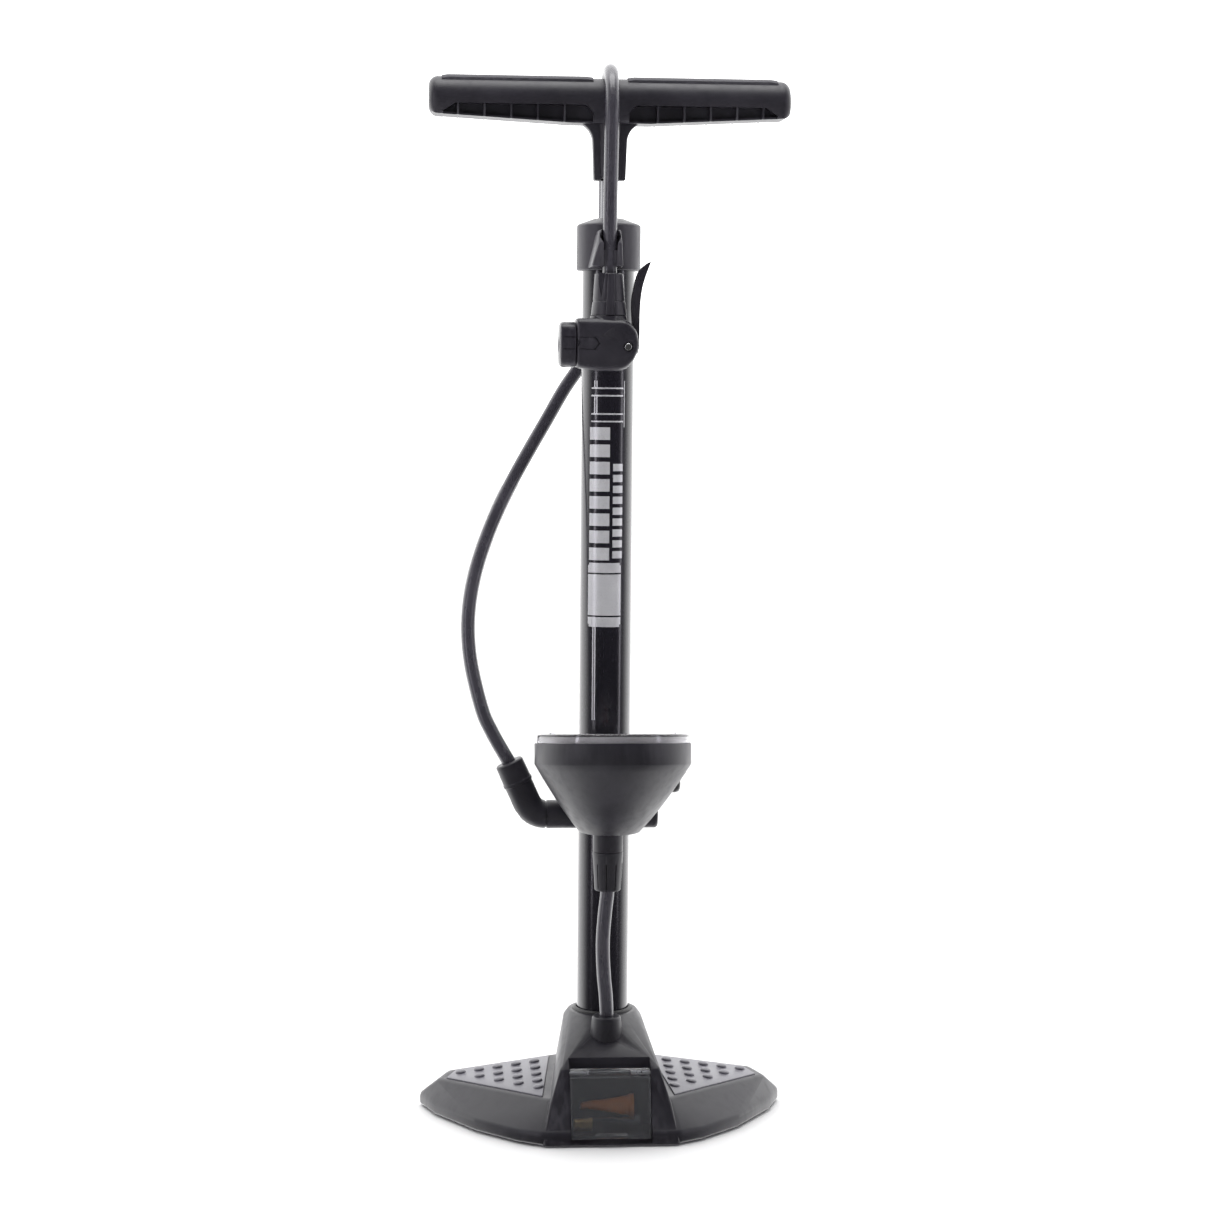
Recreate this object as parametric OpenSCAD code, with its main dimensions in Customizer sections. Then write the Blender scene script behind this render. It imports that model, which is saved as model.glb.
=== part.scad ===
// Bicycle track pump: wide foot base, slim barrel, T-handle plunger, round gauge and a looped hose.
// Millimetres. Origin on the floor under the barrel's axis, front is -Y, +Z is up.

/* [Barrel and plunger] */
// outside diameter of the barrel tube
barrel_d = 31.8; // [25:0.1:40]
// wall of the barrel tube
barrel_wall = 1.2; // [0.8:0.1:2]
// height of the barrel's upper end above the floor
barrel_top = 538; // [400:1:600]
// diameter of the piston rod
rod_d = 10; // [8:0.5:12]
// length of rod that shows between cap and handle at rest
rod_showing = 22.6; // [3:0.1:60]

/* [Handle] */
// length of the T-handle
handle_w = 217.6; // [160:0.1:260]
// radius of the handle bar's upper half
handle_r = 13.6; // [11:0.1:18]

/* [Base] */
// overall width across the wing tips
base_w = 226; // [180:1:280]
// height of the tower round the barrel
tower_top = 64; // [50:1:80]

/* [Gauge] */
// radius of the gauge housing
gauge_r = 46.3; // [30:0.1:55]
// tilt of the gauge face towards the user
gauge_tilt = 8; // [0:1:30]

/* [Hose] */
// outside diameter of the hose
hose_d = 8.5; // [7:0.1:11]

/* [Hidden] */
$fn = 64;

barrel_r = barrel_d / 2;
bore_r = barrel_r - barrel_wall;
rod_r = rod_d / 2;
hose_r = hose_d / 2;

barrel_foot = 24;
plug_top = 58;
port_z = 36;
pipe_y = -34;

cap_r = 19.4;
cap_bottom = 518;
cap_shoulder = 544;
cap_top = cap_shoulder + 5.4;
stem_bottom = cap_top + rod_showing;
bar_z = 619;
bar_bottom = bar_z - handle_r;
handle_half = handle_w / 2;
piston_z = 92;

pipe_z = 191.7;
pipe_r = 8.5;
button_z = 210;
gauge_y = -64.5;
gauge_z = 226.3;
ring_h = 5.5;
side_h = 12.6;

head_x = -1.6;
head_y = -30;
head_z = 472;
pin_x = 8.8;

rim_z = 1.2;
wall_z = 8;
front_slope = [[-64.2, 43.6], [-81.5, rim_z]];
lid_t = 2;
hinge_drop = 3.2;
lid_angle = atan2(front_slope[0][0] - front_slope[1][0], front_slope[0][1] - front_slope[1][1]);

function tread_z(x, y) = 31.45 - 0.113 * abs(x) + 0.055 * y;
function shrink(p, c, t) = [p[0] + (c[0] - p[0]) * t, p[1] + (c[1] - p[1]) * t];

// Outline of the right wing on the floor, and of its tread plane; the left one is the mirror image.
wing_foot = [[18, -80.8], [41, -79.6], [56, -71], [80, -48], [104, -12], [base_w / 2, 12], [109, 22],
    [96, 28], [18, 32]];
wing_tread = [[18, -50], [36, -62], [101.5, 0.5], [94, 15], [28, 21], [18, 21]];
wing_middle = [58, -14];

module dot(x, y, z) {
    translate([x, y, z])
        cube(0.02, center = true);
}

module tube(r_out, r_in, h) {
    difference() {
        cylinder(r = r_out, h = h);
        translate([0, 0, -1])
            cylinder(r = r_in, h = h + 2);
    }
}

module along_x(x, y, z) {
    translate([x, y, z])
        rotate([0, 90, 0])
            children();
}

module along_y(x, y, z) {
    translate([x, y, z])
        rotate([-90, 0, 0])
            children();
}

module both_sides() {
    children();
    mirror([1, 0, 0])
        children();
}

// ---- base ----

module wing_solid(inset, drop, floor_z) {
    hull() {
        for (p = wing_foot) {
            q = shrink(p, wing_middle, inset);
            dot(q[0], q[1], floor_z);
            dot(q[0], q[1], wall_z - drop * 0.6);
        }
        for (p = wing_tread) {
            q = shrink(p, wing_middle, inset);
            dot(q[0], q[1], tread_z(q[0], q[1]) - drop);
        }
    }
}

module tower_solid(t = 0) {
    hull() {
        translate([0, 0, rim_z - t])
            cylinder(r = 24 - t, h = tower_top - 4 - rim_z, $fn = 48);
        translate([0, 0, rim_z - t])
            cylinder(r = 21 - t, h = tower_top - rim_z, $fn = 48);
        for (s = [-1, 1]) {
            dot(s * (30 - t), front_slope[0][0] + t, front_slope[0][1] - 1.2 - t);
            dot(s * (28.5 - t), front_slope[0][0] + 2 + t, front_slope[0][1] + 0.4 - t);
            dot(s * (36.5 - t), -71.5 + t, 23 - t);
            dot(s * (41 - t), front_slope[1][0] + t, rim_z - t);
            dot(s * (31 - t), 30 - t, rim_z - t);
        }
    }
}

module store_cut() {
    translate([-22.5, -90, 6])
        cube([45, 45, 33.5]);
}

module slope_frame() {
    translate([0, front_slope[0][0], front_slope[0][1]])
        rotate([-lid_angle, 0, 0])
            children();
}

module base_shell() color("DimGray") {
    difference() {
        union() {
            both_sides()
                wing_solid(0, 0, rim_z);
            tower_solid();
        }
        both_sides()
            difference() {
                wing_solid(0.06, 2.6, -5);
                for (p = foot_spots())
                    translate([p[0], p[1], 0])
                        cylinder(r = 9.5, h = 60);
                translate([-45, -90, -10])
                    cube([72, 130, 90]);
            }
        // barrel socket, plug flange and the trim ring's seat
        translate([0, 0, barrel_foot])
            cylinder(r = barrel_r + 0.05, h = 60);
        translate([0, 0, -1])
            cylinder(r = 20.1, h = barrel_foot);
        translate([0, 0, barrel_foot - 2])
            cylinder(r = barrel_r + 0.05, h = 4);
        translate([0, 0, tower_top - 3])
            cylinder(r = 18.6, h = 10);
        for (a = [30, 150, 270])
            rotate(a)
                translate([17.9, 0, 10])
                    cylinder(r = 1.3, h = 26, $fn = 24);
        // store, with the lid's seat on the sloping front
        store_cut();
        slope_frame() {
            translate([-24.4, -5, -44.5])
                cube([48.8, 5 + lid_t + 0.3, 50]);
            translate([-24.4, -5, -hinge_drop])
                cube([48.8, 5 + hinge_drop + 3.6, 20]);
            along_x(-24.4, hinge_drop, -hinge_drop)
                cylinder(r = 3.6, h = 48.8);
            along_x(-27, hinge_drop, -hinge_drop)
                cylinder(r = 1.3, h = 54, $fn = 24);
        }
        // hollow under the tower, round the barrel's boss
        difference() {
            intersection() {
                tower_solid(2.6);
                translate([-24, -42, -10])
                    cube([48, 90, 90]);
            }
            cylinder(r = 22.8, h = 80);
        }
        along_y(0, -24, port_z)
            cylinder(r = 4.6, h = 12);
        translate([0, pipe_y, 20])
            cylinder(r = 5.2, h = 50);
        for (p = foot_spots())
            for (s = [-1, 1])
                translate([s * p[0], p[1], -1])
                    cylinder(r = 3, h = 9);
    }
}

function foot_spots() = [[88, 8], [46, -52], [36, 18]];

module tread_pads() color("Gray")
    both_sides()
        difference() {
            union() {
                intersection() {
                    linear_extrude(height = 60)
                        polygon([[40, -56.5], [97, -1.5], [91, 11], [32, 17]]);
                    tread_slab(0.05, 1.0);
                }
                tread_studs();
            }
        }

module tread_slab(below, above) {
    translate([0, 0, 31.45])
        rotate([atan(0.055), 0, 0])
            rotate([0, atan(0.113), 0])
                translate([-20, -120, below])
                    cube([160, 200, above - below]);
}

module tread_studs() {
    for (column = [0:4])
        for (row = [0:4 - column])
            let (x = 41.5 + column * 11.5, y = 9 - row * 12.2 - column * 0.9)
                translate([x, y, tread_z(x, y) + 0.9])
                    rotate([atan(0.055), atan(0.113), 0])
                        cylinder(r1 = 3.1, r2 = 2.3, h = 1.1, $fn = 24);
}

module rubber_feet() color("Black") {
    cylinder(r = 19.6, h = 7);
    for (p = foot_spots())
        for (s = [-1, 1])
            translate([s * p[0], p[1], 0]) {
                cylinder(r = 9, h = rim_z - 0.02);
                cylinder(r = 2.95, h = 7.9);
            }
}

module barrel_trim_ring() color("Black")
    translate([0, 0, tower_top - 3])
        difference() {
            union() {
                cylinder(r = 18.5, h = 3);
                translate([0, 0, 3])
                    cylinder(r1 = 18.5, r2 = 17.4, h = 1.6);
            }
            translate([0, 0, -1])
                cylinder(r = barrel_r + 0.05, h = 10);
        }

module foot_plug() color("Silver")
    difference() {
        union() {
            translate([0, 0, barrel_foot])
                cylinder(r = bore_r - 0.05, h = plug_top - barrel_foot);
            translate([0, 0, 14])
                cylinder(r = 20, h = barrel_foot - 14 - 1.1);
            translate([0, 0, 20])
                cylinder(r = bore_r - 0.05, h = 8);
        }
        translate([0, 0, 28])
            cylinder(r = 5.4, h = 21.2);
        translate([0, 0, 40])
            cylinder(r = 2.6, h = 30);
        along_y(0, -20, port_z)
            cylinder(r = 2.5, h = 20);
        translate([0, 0, 51.5])
            difference() {
                cylinder(r = 20, h = 3);
                translate([0, 0, -1])
                    cylinder(r = 12.2, h = 5);
            }
        for (a = [30, 150, 270])
            rotate(a)
                translate([17.9, 0, 10])
                    cylinder(r = 1.6, h = 20, $fn = 24);
    }

module foot_oring() color("Black")
    translate([0, 0, 53])
        rotate_extrude()
            translate([13.45, 0])
                circle(r = 1.2);

module check_poppet() color("DarkGreen")
    translate([0, 0, 0.02]) {
        translate([0, 0, 46.6])
            cylinder(r = 4.4, h = 2.4);
        translate([0, 0, 40])
            cylinder(r = 2, h = 8);
    }

module coil(r, wire, pitch, turns, z0, steps) {
    n = turns * steps;
    sides = 6;
    points = [for (i = [0:n]) for (j = [0:sides - 1])
        let (a = 360 * i / steps, b = 360 * j / sides, q = r + wire * cos(b))
            [q * cos(a), q * sin(a), z0 + pitch * i / steps + wire * sin(b)]];
    polyhedron(points = points, faces = concat(
        [[for (j = [0:sides - 1]) j]],
        [for (i = [0:n - 1]) for (j = [0:sides - 1])
            [i * sides + j, (i + 1) * sides + j, (i + 1) * sides + (j + 1) % sides, i * sides + (j + 1) % sides]],
        [[for (j = [sides - 1:-1:0]) n * sides + j]]));
}

module check_spring() color("Silver")
    coil(3.4, 0.45, 3.45, 5, 28.6, 16);

module base_screws() color("Silver")
    for (a = [30, 150, 270])
        rotate(a)
            translate([17.9, 0, 0]) {
                translate([0, 0, 11.8])
                    cylinder(r = 2.1, h = 2.2);
                translate([0, 0, 14])
                    cylinder(r = 1.25, h = 17, $fn = 24);
            }

module outlet_elbow() color("Goldenrod")
    difference() {
        union() {
            along_y(0, pipe_y, port_z)
                cylinder(r = 4.5, h = -pipe_y - barrel_r - 0.2);
            translate([0, pipe_y, port_z - 6])
                cylinder(r = 5, h = 17.9);
        }
        along_y(0, pipe_y, port_z)
            cylinder(r = 2, h = 30);
        translate([0, pipe_y, port_z - 3])
            cylinder(r = 2.4, h = 30);
    }

module base_hose_sleeve() color("Black")
    difference() {
        translate([0, pipe_y, 48])
            union() {
                cylinder(r = 9.8, h = 5.5);
                translate([0, 0, 5.5])
                    cylinder(r1 = 9.8, r2 = 6.2, h = 14);
            }
        translate([0, pipe_y, 40])
            cylinder(r = 5.05, h = 18);
        translate([0, pipe_y, 50])
            cylinder(r = hose_r + 0.05, h = 30);
        tower_solid();
    }

module storage_lid() color([0.4, 0.4, 0.42, 0.6])
    slope_frame()
        difference() {
            union() {
                translate([-24, 0, -42])
                    cube([48, lid_t, 42 - hinge_drop]);
                translate([-9.6, -3, -42])
                    cube([19.2, 3.2, 4]);
                along_x(-24, hinge_drop, -hinge_drop)
                    cylinder(r = hinge_drop, h = 48);
            }
            along_x(-30, hinge_drop, -hinge_drop)
                cylinder(r = 1.25, h = 60, $fn = 24);
        }

module lid_pins() color("Silver")
    slope_frame()
        for (x = [-26.5, 12.5])
            along_x(x, hinge_drop, -hinge_drop)
                cylinder(r = 1.2, h = 14, $fn = 24);

module bladder_adaptor() color("Orange")
    along_x(-16, -58, 19) {
        cylinder(r1 = 1.6, r2 = 5.6, h = 27);
        translate([0, 0, 27])
            cylinder(r = 6.4, h = 3);
    }

module ball_needle() color("Silver")
    along_x(-18, -50, 9) {
        cylinder(r = 1, h = 26, $fn = 24);
        translate([0, 0, 26])
            cylinder(r = 3, h = 9);
    }

module valve_adaptor() color("Goldenrod")
    difference() {
        along_x(-20, -63, 9.6)
            cylinder(r = 3.5, h = 10);
        along_x(-21, -63, 9.6)
            cylinder(r = 2.2, h = 12);
    }

// ---- barrel ----

module barrel_tube() color([0.08, 0.08, 0.09])
    difference() {
        translate([0, 0, barrel_foot])
            tube(barrel_r, bore_r, barrel_top - barrel_foot);
        along_y(0, -22, port_z)
            cylinder(r = 3, h = 12);
    }

module top_cap() color("DimGray")
    difference() {
        union() {
            translate([0, 0, cap_bottom])
                cylinder(r = cap_r, h = cap_shoulder - cap_bottom);
            translate([0, 0, cap_shoulder])
                cylinder(r1 = cap_r - 0.6, r2 = 9, h = cap_top - cap_shoulder);
            // clip that holds the hose in front
            translate([head_x - 7.4, -37.5, cap_bottom + 1.5])
                cube([14.8, 30, 20]);
            clip_gussets();
        }
        translate([0, 0, cap_bottom - 1])
            cylinder(r = barrel_r + 0.05, h = barrel_top - cap_bottom + 1.05);
        translate([0, 0, cap_bottom])
            cylinder(r = 6.2, h = 60);
        translate([0, 0, cap_shoulder - 3])
            cylinder(r = 8.6, h = 4);
        translate([head_x, head_y, cap_bottom - 1])
            cylinder(r = hose_r + 0.35, h = 40);
        translate([head_x - hose_r + 0.1, -60, cap_bottom - 1])
            cube([hose_d - 0.2, 60 + head_y, 40]);
        translate([head_x - 20, -60, cap_bottom - 8])
            rotate([20, 0, 0])
                cube([40, 40, 10]);
    }

module clip_gussets() {
    for (s = [-1, 1])
        translate([head_x + s * 9.2 - 1, -27, cap_bottom + 1.5])
            rotate([90, 0, 90])
                linear_extrude(height = 2)
                    polygon([[0, 0], [14, 0], [14, 17], [4, 17]]);
}

module rod_bush() color("Ivory")
    translate([0, 0, 521])
        difference() {
            cylinder(r = bore_r - 0.05, h = barrel_top - 521);
            translate([0, 0, -1])
                cylinder(r = rod_r + 0.08, h = 40);
            translate([0, 0, 4])
                tube(20, 12.2, 9);
        }

module wiper_seal() color("Black")
    translate([0, 0, cap_shoulder - 2.9])
        tube(8.55, rod_r + 0.05, 2.8);

// ---- plunger ----

module piston_rod() color("Silver")
    difference() {
        union() {
            translate([0, 0, piston_z + 22])
                cylinder(r = rod_r, h = 622 - piston_z - 22);
            translate([0, 0, piston_z - 8])
                cylinder(r = rod_r - 1, h = 40);
        }
        translate([0, 0, piston_z + 36])
            cylinder(r = rod_r - 1.2, h = 590 - piston_z - 36);
        translate([0, 0, 598])
            cylinder(r = 2.6, h = 40);
    }

module piston() color("Ivory")
    translate([0, 0, piston_z + 10])
        difference() {
            cylinder(r = bore_r - 0.35, h = 12);
            translate([0, 0, 4])
                tube(20, 11.5, 4);
            translate([0, 0, -1])
                cylinder(r = rod_r - 0.95, h = 20);
        }

module piston_cup() color("Black")
    translate([0, 0, piston_z + 2])
        difference() {
            cylinder(r = bore_r - 0.06, h = 8);
            translate([0, 0, -1])
                cylinder(r1 = 12.6, r2 = 10.5, h = 5);
            translate([0, 0, -1])
                cylinder(r = rod_r - 0.95, h = 20);
        }

module piston_washer() color("Silver")
    translate([0, 0, piston_z + 2.4])
        tube(9.8, rod_r - 0.95, 1.6);

module piston_nut() color("Silver")
    translate([0, 0, piston_z - 4])
        difference() {
            cylinder(r = 8, h = 6.3, $fn = 6);
            translate([0, 0, -1])
                cylinder(r = rod_r - 0.95, h = 20);
        }

module bump_stop() color("Black")
    translate([0, 0, piston_z + 22])
        tube(9, rod_r + 0.03, 6);

module bar_section(r) {
    circle(r = r);
    translate([-r * 0.9, -r + 2.5])
        square([r * 1.8, r - 2.5]);
    translate([-r * 0.9 + 2.5, -r])
        square([r * 1.8 - 5, r]);
    for (s = [-1, 1])
        translate([s * (r * 0.9 - 2.5), -r + 2.5])
            circle(r = 2.5);
}

module end_rounding(f) {
    along_x(-handle_half, 0, bar_z)
        rotate_extrude() {
            square([19, handle_w - 2 * f]);
            translate([0, 0])
                square([19 - f, handle_w]);
            translate([0, f])
                square([19, handle_w - 2 * f]);
            for (y = [f, handle_w - f])
                translate([19 - f, y])
                    circle(r = f);
        }
}

// X stations of the thin ribs under each half of the bar
rib_x = [28, 43.9, 59.8, 75.7, 91.5];
rib_t = 1.6;

module rib_pockets() {
    starts = concat([17], [for (x = rib_x) x + rib_t / 2]);
    ends = concat([for (x = rib_x) x - rib_t / 2], [98.5]);
    for (i = [0:5])
        for (s = [-1, 1])
            translate([starts[i], s > 0 ? 6.5 : -26.5, bar_z - 11.6])
                cube([ends[i] - starts[i], 20, 8.4]);
}

module handle_body() color("DimGray")
    difference() {
        union() {
            intersection() {
                along_x(-handle_half, 0, bar_z)
                    rotate([0, 0, 90])
                        linear_extrude(height = handle_w)
                            bar_section(handle_r);
                end_rounding(6);
            }
            translate([0, 0, bar_bottom - 11])
                cylinder(r1 = 10.3, r2 = 13, h = 14);
            translate([0, 0, stem_bottom])
                cylinder(r1 = 9.6, r2 = 10.3, h = bar_bottom - 11 - stem_bottom);
            translate([0, 0, 600])
                along_x(-17, 0, 6.5)
                    cylinder(r = 6, h = 34);
        }
        both_sides()
            rib_pockets();
        both_sides()
            grip_seat(0.05);
        translate([0, 0, stem_bottom - 1])
            cylinder(r = rod_r + 0.05, h = 622.05 - stem_bottom + 1);
        translate([0, 0, 600])
            cylinder(r = 3.1, h = 60);
        translate([0, 0, 627])
            cylinder(r = 5.6, h = 10);
    }

module grip_seat(gap) {
    along_x(10.5 - gap, 0, bar_z)
        intersection() {
            tube(handle_r + 6, handle_r - 1.2 - gap, 90.5 + 2 * gap);
            translate([-25, -8.2 - gap, -1])
                cube([25 - 5.5 + gap, 16.4 + 2 * gap, 100]);
        }
}

module handle_grips() color("Gray")
    both_sides()
        intersection() {
            grip_seat(0);
            along_x(0, 0, bar_z)
                cylinder(r = handle_r + 1.2, h = 120);
        }

module handle_screw() color("Silver")
    difference() {
        union() {
            translate([0, 0, 600])
                cylinder(r = 2.55, h = 28);
            translate([0, 0, 627.05])
                cylinder(r = 5, h = 3.4);
        }
        translate([0, 0, 628.5])
            cylinder(r = 2.3, h = 4, $fn = 6);
    }

// ---- gauge ----

module gauge_frame() {
    translate([0, gauge_y, gauge_z])
        rotate([-gauge_tilt, 0, 0])
            children();
}

module funnel(inset, top_h) {
    hull() {
        gauge_frame()
            cylinder(r = gauge_r - inset, h = top_h, $fn = 72);
        translate([0, -52.5, 206])
            cylinder(r = 36.3 - inset, h = 0.1, $fn = 48);
        translate([0, -42.5, 183 + inset])
            cylinder(r = 18.6 - inset, h = 0.1, $fn = 48);
    }
}

module gauge_housing() color("DimGray")
    difference() {
        funnel(0, side_h);
        funnel(2.4, side_h + 20);
        translate([-19, -45, 170])
            cube([38, 60, 36.2]);
        translate([0, 0, 170])
            cylinder(r = 20.8, h = 38.4);
        along_x(-60, pipe_y, pipe_z)
            cylinder(r = pipe_r + 0.3, h = 120);
        along_x(0, pipe_y, button_z)
            cylinder(r = 7.2, h = 60);
    }

module gauge_lens() color([0.6, 0.6, 0.62, 0.5])
    gauge_frame() {
        difference() {
            translate([0, 0, side_h])
                cylinder(r = gauge_r - 0.2, h = ring_h);
            translate([0, 0, side_h - 1])
                cylinder(r = gauge_r - 2.4, h = ring_h + 1 - 1.8);
        }
        for (x = [-36, 36])
            translate([x, 0, side_h + ring_h])
                cylinder(r = 1.6, h = 0.8);
    }

module gauge_dial() color("White")
    gauge_frame()
        translate([0, 0, side_h - 2.2])
            tube(gauge_r - 2.5, 1.6, 1.2);

module movement_plate() color("Goldenrod")
    gauge_frame()
        difference() {
            union() {
                translate([-16, -30, -1])
                    cube([32, 36, 1.6]);
                for (p = [[-12, -26], [12, -26], [-12, 3]])
                    translate([p[0], p[1], 0.6])
                        cylinder(r = 1.6, h = side_h - 2.8 - 0.05);
                translate([0, -8, -6])
                    cylinder(r = 4, h = 5.2);
            }
            translate([0, 0, -3])
                cylinder(r = 1.05, h = 10, $fn = 24);
            translate([0, -26, -3])
                cylinder(r = 1.55, h = 10, $fn = 24);
        }

module bourdon_tube() color("Goldenrod")
    gauge_frame()
        translate([0, 0, 5])
            rotate([0, 0, 100])
                rotate_extrude(angle = 250)
                    translate([34, 0])
                        square([1.6, 4], center = true);

// thin straight-flanked teeth with plenty of backlash, as in a stamped movement
module teeth(r, count, first, last, h, width) {
    for (i = [first:last])
        rotate(360 * i / count)
            translate([r - 1.2, -width / 2, 0])
                cube([1.8, width, h]);
}

pinion_r = 3.25;
sector_r = 22.75;
pinion_teeth = 8;
sector_teeth = 56;

module sector_gear() color("Goldenrod")
    gauge_frame()
        translate([0, -26, 2.2])
            difference() {
                union() {
                    cylinder(r = 3.2, h = 1.6);
                    intersection() {
                        tube(sector_r - 0.9, sector_r - 4, 1.6);
                        rotate(90 - 19.3)
                            wedge(26, 40);
                    }
                    rotate(90 - 19.3)
                        translate([0, -1.5, 0])
                            cube([sector_r - 3, 3, 1.6]);
                    rotate(90)
                        teeth(sector_r, sector_teeth, -7, 1, 1.6, 0.7);
                    translate([0, 0, -3.4])
                        cylinder(r = 1.5, h = 4);
                }
            }

module wedge(half_angle, r) {
    linear_extrude(height = 5)
        polygon([[0, 0], [r, -r * tan(half_angle)], [r, r * tan(half_angle)]]);
}

module pointer() color("Red")
    gauge_frame() {
        translate([0, 0, -1.5])
            cylinder(r = 1, h = side_h + 2.6, $fn = 24);
        translate([0, 0, 2.2]) {
            cylinder(r = pinion_r - 0.95, h = 1.6);
            rotate(180 / pinion_teeth - 90)
                teeth(pinion_r, pinion_teeth, 0, pinion_teeth - 1, 1.6, 0.7);
        }
        translate([0, 0, side_h + 0.4])
            rotate(pointer_rest) {
                cylinder(r = 3.4, h = 1.1);
                linear_extrude(height = 0.7)
                    polygon([[-9, -1.6], [-9, 1.6], [0, 1.2], [36, 0.3], [36, -0.3], [0, -1.2]]);
            }
    }

pointer_rest = 225;

module gauge_carrier() color("DimGray")
    difference() {
        union() {
            translate([0, 0, 185])
                cylinder(r = 20.4, h = 23);
            translate([-18.6, -44.5, 184])
                cube([37.2, 32, 22]);
            for (s = [-1, 1])
                translate([s * 23 - 5, -6, 190])
                    cube([10, 5.85, 14]);
            along_x(-31, pipe_y, pipe_z)
                cylinder(r = pipe_r - 1.6, h = 60);
            along_x(10, pipe_y, button_z)
                cylinder(r = 6.9, h = 24);
            translate([0, -40, 200])
                cylinder(r = 5, h = 15);
            translate([10, -40, 200])
                cube([8.6, 12, 8]);
        }
        translate([0, 0, 170])
            cylinder(r = barrel_r + 0.05, h = 60);
        translate([-40, -0.15, 170])
            cube([80, 40, 60]);
        along_x(-40, pipe_y, pipe_z)
            cylinder(r = 2.5, h = 80);
        translate([0, pipe_y, 170])
            cylinder(r = 2.2, h = 22);
        along_x(18, pipe_y, button_z)
            cylinder(r = 5.6, h = 40);
        for (s = [-1, 1])
            along_y(s * 23, -10, 197)
                cylinder(r = 1.7, h = 12, $fn = 24);
    }

module clamp_strap() color("DimGray")
    difference() {
        union() {
            translate([0, 0, 187])
                cylinder(r = 19.4, h = 20);
            for (s = [-1, 1])
                translate([s * 23 - 5, 0.15, 190])
                    cube([10, 5.85, 14]);
        }
        translate([0, 0, 170])
            cylinder(r = barrel_r + 0.05, h = 60);
        translate([-40, -39.85, 170])
            cube([80, 40, 60]);
        for (s = [-1, 1])
            along_y(s * 23, -2, 197)
                cylinder(r = 2.1, h = 12, $fn = 24);
    }

module clamp_screws() color("Silver")
    for (s = [-1, 1]) {
        along_y(s * 23, -6, 197)
            cylinder(r = 1.65, h = 12, $fn = 24);
        along_y(s * 23, 6, 197)
            cylinder(r = 3.4, h = 2.4);
    }

module hose_elbow() color("DimGray")
    difference() {
        union() {
            along_x(elbow_x, pipe_y, pipe_z)
                cylinder(r = pipe_r, h = -18.7 - elbow_x);
            translate([elbow_x, pipe_y, pipe_z])
                sphere(r = pipe_r + 0.25);
            elbow_arm()
                cylinder(r1 = pipe_r - 0.1, r2 = 7.9, h = elbow_arm_l);
            elbow_arm()
                translate([0, 0, elbow_arm_l - 12])
                    cylinder(r = 8.7, h = 1.6);
        }
        along_x(elbow_x, pipe_y, pipe_z)
            cylinder(r = 2.5, h = 31);
        along_x(-31.05, pipe_y, pipe_z)
            cylinder(r = pipe_r - 1.55, h = 14);
        elbow_arm()
            cylinder(r = 2.3, h = elbow_arm_l - 2);
        elbow_arm()
            translate([0, 0, elbow_arm_l - 12])
                cylinder(r = hose_r + 0.05, h = 14);
        translate([-38.3, -60, pipe_z + 5])
            cube([1.4, 60, 6]);
    }

elbow_x = -46;
elbow_lean = 24;
elbow_arm_l = 34.9;

module elbow_arm() {
    translate([elbow_x, pipe_y, pipe_z])
        rotate([0, -elbow_lean, 0])
            children();
}

module side_plug() color("DimGray")
    difference() {
        along_x(18.7, pipe_y, pipe_z)
            cylinder(r = pipe_r, h = 10.8);
        along_x(18, pipe_y, pipe_z)
            cylinder(r = pipe_r - 1.55, h = 11.05);
    }

module release_button() color("Black")
    union() {
        along_x(24.5, pipe_y, button_z)
            cylinder(r = 5.5, h = 15.5);
        along_x(40, pipe_y, button_z)
            cylinder(r1 = 5.5, r2 = 4.9, h = 1.6);
        along_x(41.6, pipe_y, button_z)
            cylinder(r1 = 4.9, r2 = 3.2, h = 1.7);
    }

module button_spring() color("Silver")
    translate([18.7, pipe_y, button_z])
        rotate([0, 90, 0])
            coil(3.6, 0.4, 1.15, 4, 0.45, 16);

module lower_connector() color("DimGray")
    difference() {
        union() {
            translate([0, pipe_y, 169])
                cylinder(r = 9.1, h = 14.95);
        }
        translate([0, pipe_y, 160])
            cylinder(r = 2.5, h = 30);
    }

module lower_sleeve() color("Black")
    difference() {
        translate([0, pipe_y, 145])
            cylinder(r1 = 7.9, r2 = 9.3, h = 23.95);
        translate([0, pipe_y, 140])
            cylinder(r = hose_r + 0.05, h = 20);
        translate([0, pipe_y, 140])
            cylinder(r = 2.5, h = 40);
        for (a = [45, 135, 225, 315])
            translate([0, pipe_y, 147])
                rotate(a)
                    translate([6.6, -0.8, 0])
                        cube([4, 1.6, 12]);
    }

// ---- valve head ----

module head_frame() {
    translate([0, head_y, head_z])
        children();
}

// side profile of the head in X and Z, extruded through its thickness
module head_profile() {
    polygon([[-22, -11], [-18, -13], [-6, -14.5], [4, -14.2], [8.5, -12.5], [12.4, -8], [15, -2], [15.4, 3],
        [14, 9.5], [10, 15], [6, 17], [-22, 17.2]]);
}

module head_block() {
    head_frame()
        rotate([90, 0, 0])
            union() {
                translate([0, 0, -13])
                    linear_extrude(height = 26)
                        intersection() {
                            head_profile();
                            translate([-22, -12.5])
                                square([40, 27.5]);
                        }
                translate([0, 0, -10.5])
                    linear_extrude(height = 21)
                        head_profile();
            }
}

slot_half = 5.8;

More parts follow.
